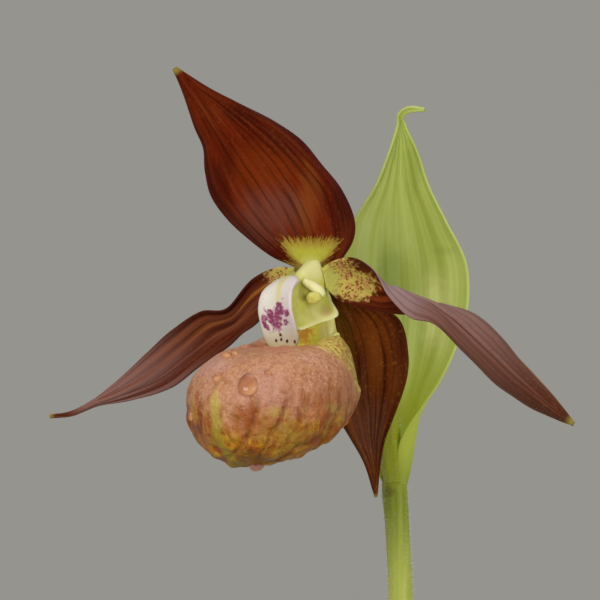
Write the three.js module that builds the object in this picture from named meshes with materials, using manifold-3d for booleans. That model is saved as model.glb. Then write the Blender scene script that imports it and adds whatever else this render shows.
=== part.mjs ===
// Potted lady's slipper orchid: one slipper flower with its leafy bract on an upright stem,
// four pleated leaves, potting mix and a plain clay pot.
// Millimetres, +Z up. The origin is the centre of the pot's base and -Y is the side that
// the flower is seen from.

import * as THREE from 'three';
import { mergeVertices } from 'three/addons/utils/BufferGeometryUtils.js';
import Module from 'manifold-3d';

const wasm = await Module();
wasm.setup();

// Clear space left between two pieces that meet
const GAP = 0.3;

// Clay pot
const POT_HEIGHT = 112;
const POT_FOOT_RADIUS = 44;
const POT_BODY_TOP_RADIUS = 58;
const POT_RIM_RADIUS = 65;
const POT_RIM_HEIGHT = 25;
const POT_WALL = 5.5;
const POT_FLOOR = 7;
const DRAIN_COUNT = 4;
const DRAIN_RADIUS = 5;
const DRAIN_OUT = 23;

// Potting mix
const SOIL_TOP = 99;
const SOIL_LUMP = 1.5;

// Stem, upright from the potting mix to the node that carries the bract and the flower
const NODE_Z = 280;
const STEM_FOOT_Z = 84;
const STEM_FOOT_RADIUS = 3.3;
const STEM_TOP_RADIUS = 2.45;
const STEM_TOP_X = -1;

// Flower, whose points are given to the right, up and back of this place
const FLOWER = new THREE.Vector3(-21, -24, NODE_Z + 39.9);
const LOOKS_LEFT = THREE.MathUtils.degToRad(36);
const FORWARD = new THREE.Vector3(-Math.sin(LOOKS_LEFT), -Math.cos(LOOKS_LEFT), 0);
const SIDEWAYS = new THREE.Vector3(Math.cos(LOOKS_LEFT), -Math.sin(LOOKS_LEFT), 0);
const UP = new THREE.Vector3(0, 0, 1);

const PETAL_THICKNESS = 0.7;
const LEAF_THICKNESS = 0.75;

const COLOURS = {
  clay: { color: 0xb0674a, roughness: 0.85, metalness: 0 },
  soil: { color: 0x4a3626, roughness: 0.95, metalness: 0 },
  leaf: { color: 0x7f9a45, roughness: 0.55, metalness: 0 },
  bract: { color: 0xa0aa56, roughness: 0.55, metalness: 0 },
  stem: { color: 0x93a055, roughness: 0.6, metalness: 0 },
  maroon: { color: 0x5a2412, roughness: 0.5, metalness: 0 },
  pouch: { color: 0xb4754e, roughness: 0.45, metalness: 0 },
  cream: { color: 0xd9d79a, roughness: 0.5, metalness: 0 },
  white: { color: 0xd8cfd0, roughness: 0.5, metalness: 0 },
};

// Dorsal sepal: left edge, midrib and right edge from the base to the tip
const DORSAL_SEPAL = {
  left: [
    [0.2, 5.6, -1], [-1.5, 7.1, -1.5], [-5.9, 9.2, -1], [-10.5, 12.6, 0], [-15.1, 16.8, 0.5],
    [-18.7, 21.8, 0], [-19.9, 26.9, -2], [-20.2, 31.7, -4], [-22.1, 36.3, -9],
    [-24.1, 42.6, -12], [-26.4, 48.1, -15],
  ],
  middle: [
    [3.4, 6.2, -1], [3.4, 8, -2.5], [1.9, 12, -3.5], [-0.2, 17, -4], [-2.7, 22.1, -4.5],
    [-6.1, 26.9, -5], [-9.9, 31.5, -6.5], [-14.1, 36.3, -8.5], [-18.3, 40.7, -10.5],
    [-22.3, 44.5, -13], [-26.1, 48.3, -15],
  ],
  right: [
    [6.4, 6.2, -1], [8.6, 8.4, -1.5], [11.1, 12.6, -0.5], [11.3, 17.2, 0.5], [8.8, 23.1, 0.5],
    [5, 28.1, -0.5], [0.4, 33.6, -2.5], [-5.9, 37.8, -5], [-13.4, 41.4, -8],
    [-20.2, 44.7, -11.5], [-25.8, 48.5, -15],
  ],
};

// Lower sepal behind the pouch
const LOWER_SEPAL = {
  left: [
    [3.8, 3.4, 0.5], [3.8, -0.4, 1], [3.4, -6.3, 2.5], [3.8, -12.6, 4.5], [5.2, -19.3, 6.5],
    [8, -24.8, 8.5], [10.5, -29, 10], [13.2, -33.6, 11], [14.7, -37.4, 11.5], [15.7, -41.4, 12],
  ],
  middle: [
    [5.9, 3.1, 0.5], [8, 0, 2], [10.5, -5.5, 5.5], [12, -11.8, 8.5], [12.8, -18.5, 10.2],
    [13.7, -24.4, 11], [14.3, -29.4, 11.3], [15.3, -34, 11.6], [15.6, -37.4, 11.7],
    [16, -41.6, 12],
  ],
  right: [
    [8, 3.6, 0.5], [13, 0.4, 3], [20.6, -3.8, 4.5], [22.7, -10.9, 6.5], [22.3, -17.2, 8.2],
    [19.7, -24.8, 9.5], [18.1, -29, 10.3], [17, -33.6, 11], [16.5, -37.4, 11.5], [16.3, -41.4, 12],
  ],
};

// Left petal: upper edge, midrib and lower edge
const LEFT_PETAL = {
  left: [
    [0.4, 6.3, -3], [-4.6, 6.7, -1], [-9.9, 4.4, 1], [-15.5, -1.7, 4], [-21, -2.5, 7],
    [-26.9, -6.3, 10], [-32.5, -11.5, 13], [-38.4, -17, 16], [-43.7, -21.2, 18],
    [-48.3, -23.6, 19], [-52.9, -24.3, 19],
  ],
  middle: [
    [0.4, 4.4, -3], [-4.8, 3.4, 0.5], [-9.7, -0.2, 3], [-13.9, -4.2, 6], [-18.7, -6.5, 9],
    [-23.9, -10.5, 11], [-30, -15.3, 12.5], [-36.8, -19.1, 15.5], [-43.3, -21.7, 18],
    [-48.3, -24, 19], [-52.9, -24.6, 19],
  ],
  right: [
    [0.6, 2.5, -3], [-5, -0.4, -1], [-9.2, -4.9, 1], [-12.2, -7.2, 4], [-15.5, -10.3, 7],
    [-21, -13.9, 10], [-27.3, -18.5, 13], [-35.1, -20.9, 16], [-42.6, -22.3, 18],
    [-48.3, -24.4, 19], [-52.9, -24.9, 19],
  ],
};

// Right petal: the edge that crosses in front where the blade twists, midrib, other edge
const RIGHT_PETAL = {
  left: [
    [4.6, 6.7, -4], [7.8, 8.4, -6], [11.5, 8.6, -8.5], [15.5, 6.1, -11], [19.1, 0.4, -13],
    [23.1, -3.6, -14], [28.1, -5, -16], [33.6, -10.3, -18], [39.3, -16, -20],
    [44.9, -20.6, -22], [51, -23.7, -24], [56.7, -26.1, -28],
  ],
  middle: [
    [5, 4.6, -4], [8.6, 4.2, -3], [12.8, 3.1, -4], [16.6, 1.9, -6], [20.6, 2.3, -8],
    [24.1, 0.8, -10], [29, -1.9, -14], [34.2, -6.1, -19], [39.3, -10.9, -22],
    [44.7, -16.2, -25], [51, -21.4, -27], [56.9, -25.8, -28],
  ],
  right: [
    [5.5, 2.5, -4], [8.4, 0, -5], [13, -1.5, -5.5], [17.8, -2.5, -5], [21.4, -2.9, -3],
    [24.8, -2.5, -4], [30.7, -1.2, -8], [36.5, -2.9, -13], [42, -7.8, -17],
    [47.2, -13.9, -21], [52.5, -19.7, -25], [57.1, -25.5, -28],
  ],
};

// Staminode, the arched and channelled shield over the mouth of the pouch
const STAMINODE = {
  left: [
    [-2, 4.2, -7.7], [-5, 3.4, -8.8], [-7.8, 1.5, -11], [-8.6, -1.9, -11.4], [-8, -5.5, -10.7],
    [-7.1, -8.6, -10.3], [-5.5, -10.5, -10.5],
  ],
  middle: [
    [-1.3, 4.6, -8.2], [-2.9, 4.5, -10.3], [-4.4, 2.6, -12.4], [-4.7, -1.5, -12.9],
    [-4.3, -5.3, -12.2], [-3.8, -9.2, -11.5], [-3.7, -11.1, -11.3],
  ],
  right: [
    [-0.7, 4.2, -8.6], [-0.4, 4, -11.3], [-1.6, 2.1, -14.4], [-1.9, -1.5, -15.6],
    [-1.1, -5, -14.5], [-0.4, -8.6, -12.7], [-1.7, -10.5, -12.1],
  ],
};

// Bract behind the flower, with its curled tip
const BRACT = {
  left: [
    [18.5, -40, 26.2], [16.8, -36.6, 23.6], [16.2, -29.4, 23.5], [15.1, -23.1, 23.5],
    [13.7, -16.4, 24], [12, -9.4, 25], [10, -1.1, 26], [9.2, 8, 27], [11.2, 16.4, 28],
    [15.8, 24.1, 29], [18.7, 31.1, 30], [20.6, 36.8, 31], [20.8, 39.4, 30.5], [23, 40.9, 29.5],
    [26.4, 40.5, 28.5],
  ],
  middle: [
    [20.2, -40, 26.4], [20.4, -36.6, 27.2], [20.8, -29.4, 28.5], [21.4, -23.1, 29.5],
    [22.3, -16.4, 31], [22.9, -9.4, 32], [23.3, -1.1, 33], [22.9, 8, 33.5], [22.1, 16.4, 33.5],
    [21.4, 24.1, 33], [21.4, 31.1, 32.5], [21.4, 36.8, 32], [21.4, 39.1, 31], [23.1, 40.4, 30],
    [26.4, 40.35, 28.9],
  ],
  right: [
    [21.9, -40, 26], [23.4, -36.6, 24.6], [24.1, -29.4, 23.5], [26, -23.1, 23.5],
    [30.2, -16.4, 24.5], [33.4, -9.4, 26], [35.7, -1.1, 27.5], [35.3, 8, 28], [31.3, 16.4, 28.5],
    [27.5, 24.1, 29.5], [25.1, 31.1, 30], [22.5, 36.8, 31], [21.9, 38.7, 30.5], [23.2, 39.8, 29.5],
    [26.4, 40.2, 28.5],
  ],
};
// The right side of the bract's base is turned forward round the stalk, closest at the node
const BRACT_CLASP_TURN = THREE.MathUtils.degToRad(80);
const BRACT_CLASP_NEAR = 2.5;
const BRACT_CLASP_FAR = 4.2;
const BRACT_FOLDS = 6;
const BRACT_FOLD_DEPTH = 0.28;

// Ovary from the node up to the back of the flower
const OVARY_PATH = [
  [19.6, -40, 24], [19.7, -37.6, 23.7], [19.3, -33.6, 22], [18.4, -28, 20], [17.2, -20, 18.2],
  [15, -10, 15], [11.4, -1.7, 10.5], [7.4, 4, 4], [5, 6.2, 0],
];
const OVARY_RADIUS = 2.8;
const OVARY_WAIST = 0.74;

// Middle of the flower, from which the column and the lip are measured forward and sideways
const HEART = [3.15, 0, -2];

// Column with its broad stigma, in rings from the ovary forward: height of the ridge,
// half width and height of the lower edges
const COLUMN = [
  { forward: -1.6, ridge: 8.2, spread: 2.2, edge: 4.4 },
  { forward: -0.4, ridge: 8.7, spread: 3.6, edge: 0.6 },
  { forward: 0.6, ridge: 8.6, spread: 6.5, edge: -2.7 },
  { forward: 2.2, ridge: 8, spread: 6.4, edge: -3.9 },
  { forward: 5, ridge: 6.4, spread: 5.2, edge: -4.7 },
  { forward: 8, ridge: 3.8, spread: 4.8, edge: -5.5 },
  { forward: 10.2, ridge: 2, spread: 4.4, edge: -6.1 },
  { forward: 11.3, ridge: -0.5, spread: 3.4, edge: -5.6 },
];
// Shares of the spread and of the height down one side of the column
const FLANK = [[0, 0], [0.3, 0.08], [0.43, 0.36], [0.47, 0.64], [0.64, 0.86], [1, 1]];
const FLANK_POINTS = 8;
const COLUMN_RINGS = 14;
const STIGMA_BULGE = 0.9;
const FILAMENT = { from: [6, 1.2, 3.9], to: [3.2, 4.7, 0.9], thick: 1.25, thin: 0.7 };
const ANTHER_RADIUS = 1.4;
const ANTHER_PLACE = { forward: 5.3, sideways: 4.1, up: -0.2 };

// Pouch of the lip: plan at its widest, heights, and the mouth that rises to the heel behind
const POUCH_MIDDLE = 15.4;
const POUCH_HALF_LENGTH = 20.3;
const POUCH_HALF_WIDTH = 16.5;
const POUCH_WAIST = -20.2;
const POUCH_LOWEST = -34.6;
const POUCH_TILT = 1.3;
const POUCH_SHELL = 0.9;
const LOWEST_SHIFT = 8.5;
const MOUTH_SHIFT = -4.4;
const MOUTH_SHARE = 0.45;
const MOUTH_UP = -9.5;
const HEEL_SHARE = 0.23;
const SHOULDER_RISE = 1.5;
const HEEL_RISE = 8.5;
const HEEL_HOLLOW = 2;
const HEEL_NARROWING = 0.2;

// Leaves up the stem: height of the base, direction, blade length, half width, rise and droop
const LEAVES = [
  { base: 112, toward: 205, length: 118, half: 27, lean: 42, droop: 52 },
  { base: 139, toward: 20, length: 122, half: 28, lean: 44, droop: 50 },
  { base: 168, toward: 228, length: 112, half: 25, lean: 52, droop: 46 },
  { base: 197, toward: 38, length: 96, half: 20, lean: 58, droop: 40 },
];
const SHEATH_LENGTH = 17;
const LEAF_FOLDS = 6;
const LEAF_FOLD_DEPTH = 0.9;

// A point of the flower in the frame of the whole plant
function at([right, up, back]) {
  return new THREE.Vector3(FLOWER.x + right, FLOWER.y + back, FLOWER.z + up);
}

// Smooth step from 0 at one value to 1 at another, in either direction
function smooth(from, to, value) {
  const share = THREE.MathUtils.clamp((value - from) / (to - from), 0, 1);
  return share * share * (3 - 2 * share);
}

// Solid conversion, so that pieces can be cut clear of each other
function toSolid(geometry) {
  const plain = geometry.clone();
  plain.deleteAttribute('normal');
  plain.deleteAttribute('uv');
  const merged = mergeVertices(plain, 1e-4);
  const vertProperties = new Float32Array(merged.attributes.position.array);
  const triVerts = new Uint32Array(merged.index.array);
  return new wasm.Manifold(new wasm.Mesh({ numProp: 3, vertProperties, triVerts }));
}

function toGeometry(solid) {
  const mesh = solid.getMesh();
  const geometry = new THREE.BufferGeometry();
  geometry.setAttribute('position', new THREE.BufferAttribute(new Float32Array(mesh.vertProperties), 3));
  geometry.setIndex(new THREE.BufferAttribute(new Uint32Array(mesh.triVerts), 1));
  return geometry;
}

// What is left of a piece once its neighbours are taken out; only its largest body is kept
function cutClear(geometry, neighbours) {
  let solid = toSolid(geometry);
  for (const neighbour of neighbours) {
    solid = solid.subtract(toSolid(neighbour));
  }
  const bodies = solid.decompose();
  bodies.sort((a, b) => b.volume() - a.volume());
  return toGeometry(bodies[0]);
}

// Closed mesh from a grid of rings that run from one end cap to the other
function closedRings(rings) {
  const sides = rings[0].length;
  const positions = rings.flat().flatMap((p) => [p.x, p.y, p.z]);
  const index = [];
  for (let r = 0; r < rings.length - 1; r += 1) {
    for (let s = 0; s < sides; s += 1) {
      const a = r * sides + s;
      const b = r * sides + ((s + 1) % sides);
      index.push(a, b, b + sides, a, b + sides, a + sides);
    }
  }
  for (const [ring, forward] of [[0, false], [rings.length - 1, true]]) {
    const centre = new THREE.Vector3();
    rings[ring].forEach((p) => centre.addScaledVector(p, 1 / sides));
    const hub = positions.length / 3;
    positions.push(centre.x, centre.y, centre.z);
    for (let s = 0; s < sides; s += 1) {
      const a = ring * sides + s;
      const b = ring * sides + ((s + 1) % sides);
      index.push(hub, forward ? a : b, forward ? b : a);
    }
  }
  return indexed(positions, index);
}

// Mesh with its faces turned outward, whichever way its points run
function indexed(positions, index) {
  const corner = (i) => new THREE.Vector3().fromArray(positions, 3 * index[i]);
  let volume = 0;
  for (let i = 0; i < index.length; i += 3) {
    volume += corner(i).dot(corner(i + 1).cross(corner(i + 2)));
  }
  const faces = volume < 0 ? [...index].reverse() : index;
  const geometry = new THREE.BufferGeometry();
  geometry.setAttribute('position', new THREE.Float32BufferAttribute(positions, 3));
  geometry.setIndex(faces);
  return geometry;
}

// Thin blade around a surface(t, v) with t from base to tip and v from edge to edge
function blade(surface, thickness, rows, columns, edgeThinning = 0.4) {
  const step = 0.01;
  const front = [];
  const back = [];
  for (let i = 0; i <= rows; i += 1) {
    for (let j = 0; j <= columns; j += 1) {
      const t = i / rows;
      const v = (2 * j) / columns - 1;
      const along = surface(Math.min(t + step, 1), v).sub(surface(Math.max(t - step, 0), v));
      const across = surface(t, Math.min(v + step, 1)).sub(surface(t, Math.max(v - step, -1)));
      const normal = along.cross(across).normalize();
      const half = (thickness / 2) * (1 - edgeThinning * Math.abs(v) ** 6);
      const point = surface(t, v);
      front.push(point.clone().addScaledVector(normal, half));
      back.push(point.clone().addScaledVector(normal, -half));
    }
  }
  const wide = columns + 1;
  const other = front.length;
  const index = [];
  const quad = (a, b, c, d) => index.push(a, b, c, a, c, d);
  for (let i = 0; i < rows; i += 1) {
    for (let j = 0; j < columns; j += 1) {
      const a = i * wide + j;
      const b = a + wide;
      quad(a, b, b + 1, a + 1);
      index.push(other + a, other + b + 1, other + b, other + a, other + a + 1, other + b + 1);
    }
    const left = i * wide;
    const right = left + columns;
    quad(left + wide, left, other + left, other + left + wide);
    quad(right, right + wide, other + right + wide, other + right);
  }
  for (let j = 0; j < columns; j += 1) {
    const last = rows * wide + j;
    quad(j, j + 1, other + j + 1, other + j);
    quad(last + 1, last, other + last, other + last + 1);
  }
  return indexed([...front, ...back].flatMap((p) => [p.x, p.y, p.z]), index);
}

// Surface through three lines of points, with a ripple(t, v) along its normal
function threeLineSurface(lines, ripple = () => 0, widen = 1) {
  const curves = [lines.left, lines.middle, lines.right].map(
    (points) => new THREE.CatmullRomCurve3(points.map(at), false, 'catmullrom', 0.5),
  );
  return (t, v) => {
    const [left, middle, right] = curves.map((curve) => curve.getPoint(t));
    const w = v * widen;
    const point = left.clone().multiplyScalar((w * w - w) / 2);
    point.addScaledVector(middle, 1 - w * w);
    point.addScaledVector(right, (w * w + w) / 2);
    const facing = right.sub(left).cross(middle.clone().sub(curves[1].getPoint(Math.max(t - 0.02, 0))));
    if (facing.lengthSq() > 1e-9) {
      point.addScaledVector(facing.normalize(), -ripple(t, v));
    }
    return point;
  };
}

// Round bar along a path, its rings given by radius(t, angle)
function bar(points, radius, rings, sides, fixed = null) {
  const path = new THREE.CatmullRomCurve3(points, false, 'catmullrom', 0.5);
  const frames = path.computeFrenetFrames(rings, false);
  const all = [];
  for (let i = 0; i <= rings; i += 1) {
    const t = i / rings;
    const centre = path.getPointAt(t);
    const tangent = frames.tangents[i];
    const across = fixed ? fixed.clone() : frames.normals[i].clone();
    across.addScaledVector(tangent, -across.dot(tangent)).normalize();
    const other = tangent.clone().cross(across).normalize();
    const ring = [];
    for (let s = 0; s < sides; s += 1) {
      const angle = (2 * Math.PI * s) / sides;
      const [wide, deep] = radius(t, angle);
      const point = centre.clone().addScaledVector(across, wide * Math.cos(angle));
      ring.push(point.addScaledVector(other, deep * Math.sin(angle)));
    }
    all.push(ring);
  }
  return closedRings(all);
}

function pot() {
  const innerTop = POT_RIM_RADIUS - POT_WALL;
  const innerFoot = POT_FOOT_RADIUS - POT_WALL + 1;
  const shoulder = POT_HEIGHT - POT_RIM_HEIGHT;
  const outline = [
    [0, 0], [POT_FOOT_RADIUS - 1.5, 0], [POT_FOOT_RADIUS, 1.5], [POT_BODY_TOP_RADIUS, shoulder],
    [POT_RIM_RADIUS - 2.5, shoulder], [POT_RIM_RADIUS - 1.5, shoulder + 1],
    [POT_RIM_RADIUS, POT_HEIGHT - 2], [POT_RIM_RADIUS - 2, POT_HEIGHT],
    [innerTop + 1.5, POT_HEIGHT], [innerTop, POT_HEIGHT - 1.5], [innerTop - 4.5, shoulder - 4],
    [innerFoot, POT_FLOOR], [0, POT_FLOOR],
  ];
  const body = turned(outline, 56);
  const drains = [];
  for (let i = 0; i < DRAIN_COUNT; i += 1) {
    const angle = Math.PI / 4 + (2 * Math.PI * i) / DRAIN_COUNT;
    const drain = new THREE.CylinderGeometry(DRAIN_RADIUS, DRAIN_RADIUS, 3 * POT_FLOOR, 20);
    drain.rotateX(Math.PI / 2);
    drain.translate(DRAIN_OUT * Math.cos(angle), DRAIN_OUT * Math.sin(angle), POT_FLOOR / 2);
    drains.push(drain);
  }
  return cutClear(body, drains);
}

// Solid of revolution from an outline of radius and height that starts and ends on the axis
function turned(outline, segments) {
  const inner = outline.slice(1, -1);
  const rings = inner.map(([radius, height]) => {
    const ring = [];
    for (let s = 0; s < segments; s += 1) {
      const angle = (2 * Math.PI * s) / segments;
      ring.push(new THREE.Vector3(radius * Math.cos(angle), radius * Math.sin(angle), height));
    }
    return ring;
  });
  return closedRings(rings);
}

// Lumps of the potting mix, a plain sum of waves
function lump(x, y) {
  const broad = Math.sin(x / 7.1 + 1.3) * Math.cos(y / 6.3 - 0.6);
  const fine = Math.sin(x / 2.9 + y / 3.7) * Math.cos(y / 2.6 - x / 4.9 + 2);
  return SOIL_LUMP * (0.55 * broad + 0.45 * fine);
}

// Potting mix that fills the pot, with a plain hole for the stem
function soil() {
  const hole = STEM_FOOT_RADIUS + GAP;
  const innerFoot = POT_FOOT_RADIUS - POT_WALL + 1 - GAP;
  const shoulder = POT_HEIGHT - POT_RIM_HEIGHT - 4;
  const innerShoulder = POT_RIM_RADIUS - POT_WALL - 4.5 - GAP;
  const wallSlope = 4.5 / (POT_RIM_HEIGHT + 4 - 1.5);
  const topRadius = innerShoulder + wallSlope * (SOIL_TOP - shoulder) - 0.1;
  const outline = [[innerFoot, POT_FLOOR + GAP], [innerShoulder, shoulder], [topRadius, SOIL_TOP]];
  const top = [0.93, 0.82, 0.7, 0.58, 0.46, 0.34, 0.22, 0.13].map((share) => [share * topRadius, SOIL_TOP]);
  const bore = [[hole, SOIL_TOP], [hole, STEM_FOOT_Z - GAP]];
  const segments = 44;
  const rings = [...outline, ...top, ...bore].map(([radius, height], r) => {
    const ring = [];
    for (let s = 0; s < segments; s += 1) {
      const angle = (2 * Math.PI * s) / segments;
      const x = radius * Math.cos(angle);
      const y = radius * Math.sin(angle);
      const lifted = r >= outline.length && r < outline.length + top.length ? height + lump(x, y) : height;
      ring.push(new THREE.Vector3(x, y, lifted));
    }
    return ring;
  });
  return closedRings(rings);
}

function stemPoints() {
  return [
    new THREE.Vector3(0, 0, STEM_FOOT_Z),
    new THREE.Vector3(0, 0, STEM_FOOT_Z + 50),
    new THREE.Vector3(0, 0, STEM_FOOT_Z + 100),
    new THREE.Vector3(0.2, 0, 232),
    new THREE.Vector3(0.3, 0, 256),
    new THREE.Vector3(-0.3, 0, 270),
    new THREE.Vector3(STEM_TOP_X, 0, NODE_Z - 0.6),
  ];
}

function stemRadius(z) {
  return THREE.MathUtils.mapLinear(z, STEM_FOOT_Z, NODE_Z, STEM_FOOT_RADIUS, STEM_TOP_RADIUS);
}

function stem() {
  const radius = (t) => {
    const r = stemRadius(THREE.MathUtils.lerp(STEM_FOOT_Z, NODE_Z, t));
    return [r, r];
  };
  return bar(stemPoints(), radius, 22, 12, new THREE.Vector3(1, 0, 0));
}

// Leaf that sheathes the stem and then opens into an arching pleated blade
function leafSurface(leaf) {
  const heading = THREE.MathUtils.degToRad(leaf.toward);
  const out = new THREE.Vector3(Math.cos(heading), Math.sin(heading), 0);
  const side = new THREE.Vector3().crossVectors(UP, out);
  const sheath = stemRadius(leaf.base) + GAP + 0.45;
  const whole = SHEATH_LENGTH + leaf.length;
  const steps = 60;
  const line = [new THREE.Vector2(sheath, leaf.base)];
  const tilts = [];
  for (let i = 0; i <= steps; i += 1) {
    const s = (i / steps) * whole;
    const opened = smooth(SHEATH_LENGTH * 0.75, SHEATH_LENGTH * 2.1, s);
    const arched = Math.max(0, s - SHEATH_LENGTH) / leaf.length;
    tilts.push(THREE.MathUtils.degToRad(opened * leaf.lean + arched * arched * leaf.droop));
    if (i) {
      const step = new THREE.Vector2(Math.sin(tilts[i]), Math.cos(tilts[i]));
      line.push(line[i - 1].clone().addScaledVector(step, whole / steps));
    }
  }
  return (t, v) => {
    const place = t * steps;
    const low = Math.min(Math.floor(place), steps - 1);
    const middle = line[low].clone().lerp(line[low + 1], place - low);
    const tilt = THREE.MathUtils.lerp(tilts[low], tilts[low + 1], place - low);
    const s = t * whole;
    const blade = Math.max(0, s - SHEATH_LENGTH) / leaf.length;
    const opened = smooth(SHEATH_LENGTH * 0.7, SHEATH_LENGTH * 2.2, s);
    const wrap = THREE.MathUtils.lerp(2.62, 0.62 + 0.25 * (1 - blade), opened);
    const outline = Math.max(0, Math.sin(Math.PI * (0.12 + 0.88 * blade) ** 0.85)) ** 0.85;
    const half = THREE.MathUtils.lerp(sheath * 2.62, 0.5 + leaf.half * outline, opened);
    const radius = half / wrap;
    const inward = out.clone().multiplyScalar(-Math.cos(tilt)).addScaledVector(UP, Math.sin(tilt));
    const depth = LEAF_FOLD_DEPTH * opened * smooth(1, 0.75, blade) * (1 - 0.5 * v * v);
    const fold = triangleWave(v * LEAF_FOLDS) * depth;
    const point = out.clone().multiplyScalar(middle.x).addScaledVector(UP, middle.y);
    point.addScaledVector(inward, radius * (1 - Math.cos(wrap * v)) + fold);
    return point.addScaledVector(side, radius * Math.sin(wrap * v));
  };
}

// Zigzag between -1 and 1 that turns at every half of its period of 2
function triangleWave(x) {
  const place = (((x % 2) + 2) % 2) - 1;
  return 1 - 2 * Math.abs(place);
}

function leaf(description) {
  return blade(leafSurface(description), LEAF_THICKNESS, 20, 2 * LEAF_FOLDS, 0.2);
}

// Middle of the stalk at a height: the stem below the node, the ovary above it
function stalkAt(z) {
  const line = [new THREE.Vector3(STEM_TOP_X, 0, NODE_Z - 10), ...OVARY_PATH.map(at)];
  const next = Math.max(1, line.findIndex((point) => point.z > z));
  const [below, above] = [line[next - 1], line[next]];
  return below.clone().lerp(above, THREE.MathUtils.clamp((z - below.z) / (above.z - below.z), 0, 1));
}

function bractSurface() {
  const folds = (t, v) => triangleWave(v * BRACT_FOLDS) * smooth(0.1, 0.35, t) * smooth(0.98, 0.8, t);
  const open = threeLineSurface(BRACT, (t, v) => BRACT_FOLD_DEPTH * folds(t, v));
  return (t, v) => {
    const point = open(t, v);
    const share = smooth(0.27, 0.1, t) * smooth(0, 1, v);
    const axis = stalkAt(point.z);
    const offset = point.clone().sub(axis).setZ(0);
    const clasp = THREE.MathUtils.lerp(BRACT_CLASP_NEAR, BRACT_CLASP_FAR, smooth(0.02, 0.2, t));
    const radius = THREE.MathUtils.lerp(offset.length(), clasp, share);
    offset.applyAxisAngle(UP, -BRACT_CLASP_TURN * share).setLength(radius);
    return offset.add(axis).setZ(point.z);
  };
}

function ovary(extra = 0) {
  const radius = (t, angle) => {
    const swell = 0.82 + 0.18 * Math.sin(Math.PI * Math.min(1, t * 1.1));
    const waist = THREE.MathUtils.lerp(OVARY_WAIST, 1, smooth(0, 0.12, t));
    const ribbed = OVARY_RADIUS * swell * waist * (1 + 0.05 * Math.cos(6 * angle)) + extra;
    return [ribbed, ribbed];
  };
  return bar(OVARY_PATH.map(at), radius, 16, 18);
}

// A point of the flower by its distance forward of the heart, to the side of it, and its height
function onFlower(forward, sideways, up) {
  const point = at(HEART).addScaledVector(FORWARD, forward).addScaledVector(SIDEWAYS, sideways);
  return point.addScaledVector(UP, up);
}

function columnBody(extra) {
  const across = COLUMN.map(({ forward, spread }) => new THREE.Vector3(forward, spread, 0));
  const upright = COLUMN.map(({ ridge, edge }) => new THREE.Vector3(ridge, edge, 0));
  const [plan, heights] = [across, upright].map((points) => new THREE.CatmullRomCurve3(points));
  const side = new THREE.CatmullRomCurve3(FLANK.map(([out, down]) => new THREE.Vector3(out, down, 0)));
  const profile = side.getSpacedPoints(FLANK_POINTS);
  const rings = [];
  for (let i = 0; i <= COLUMN_RINGS; i += 1) {
    const t = i / COLUMN_RINGS;
    const ends = (i === COLUMN_RINGS) * extra - (i === 0) * extra;
    const { x: forward, y: spread } = plan.getPoint(t);
    const { x: ridge, y: edge } = heights.getPoint(t);
    const flank = (hand) => profile.map(({ x: out, y: down }) => onFlower(
      forward + ends,
      hand * (out * spread + (out > 0) * extra),
      THREE.MathUtils.lerp(ridge + extra, edge - extra, down),
    ));
    const below = onFlower(forward + ends, 0, edge - extra - STIGMA_BULGE);
    rings.push([...flank(1), below, ...flank(-1).reverse().slice(0, -1)]);
  }
  return closedRings(rings);
}

function filament(side, extra) {
  const points = [FILAMENT.from, FILAMENT.to].map(([forward, out, up]) => onFlower(forward, side * out, up));
  points.splice(1, 0, points[0].clone().lerp(points[1], 0.5).addScaledVector(UP, 0.5));
  const radius = (t) => {
    const r = THREE.MathUtils.lerp(FILAMENT.thick, FILAMENT.thin, t) + extra;
    return [r, 0.8 * r];
  };
  return bar(points, radius, 4, 8);
}

function column(extra = 0) {
  const pieces = [columnBody(extra), filament(1, extra), filament(-1, extra)].map(toSolid);
  return toGeometry(pieces[0].add(pieces[1]).add(pieces[2]));
}

function anther(side, extra = 0) {
  const ball = new THREE.SphereGeometry(ANTHER_RADIUS + extra, 12, 8);
  ball.scale(0.85, 0.95, 1.1);
  const { forward, sideways, up } = ANTHER_PLACE;
  const place = onFlower(forward, side * sideways, up);
  return ball.translate(place.x, place.y, place.z);
}

// Point on the pouch: turn runs round from the toe, level from the lowest point to the mouth
function pouchPoint(turn, level) {
  const ahead = Math.cos(turn);
  const heel = smooth(0.2, 0.9, -ahead);
  const rim = MOUTH_SHARE + HEEL_SHARE * heel;
  const shoulder = MOUTH_UP + SHOULDER_RISE * smooth(0, 0.55, -ahead);
  const rimUp = shoulder + HEEL_RISE * smooth(0.84, 1, -ahead);
  const across = Math.sin(turn) * (1 - HEEL_NARROWING * smooth(0.82, 0.95, -ahead));
  const angle = (Math.min(level, 0.96) / 0.96) * Math.PI;
  let share = Math.sin(angle);
  let height = POUCH_WAIST + (POUCH_LOWEST - POUCH_WAIST) * Math.cos(angle);
  let shift = LOWEST_SHIFT * (1 - Math.sin(angle));
  if (angle > Math.PI / 2) {
    const down = -Math.cos(angle);
    share = rim + (1 - rim) * Math.sin(angle) ** (1 + HEEL_HOLLOW * smooth(0.6, 1, -ahead));
    height = POUCH_WAIST + (rimUp - POUCH_WAIST) * down;
    shift = MOUTH_SHIFT * (1 - Math.sin(angle));
  }
  const rolled = smooth(0.96, 1, level) * (1 - heel);
  share -= 0.06 * rolled;
  height -= 1.1 * rolled + POUCH_TILT * ahead * share;
  const forward = POUCH_MIDDLE + shift + POUCH_HALF_LENGTH * share * ahead;
  return onFlower(forward, POUCH_HALF_WIDTH * share * across, height);
}

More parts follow.
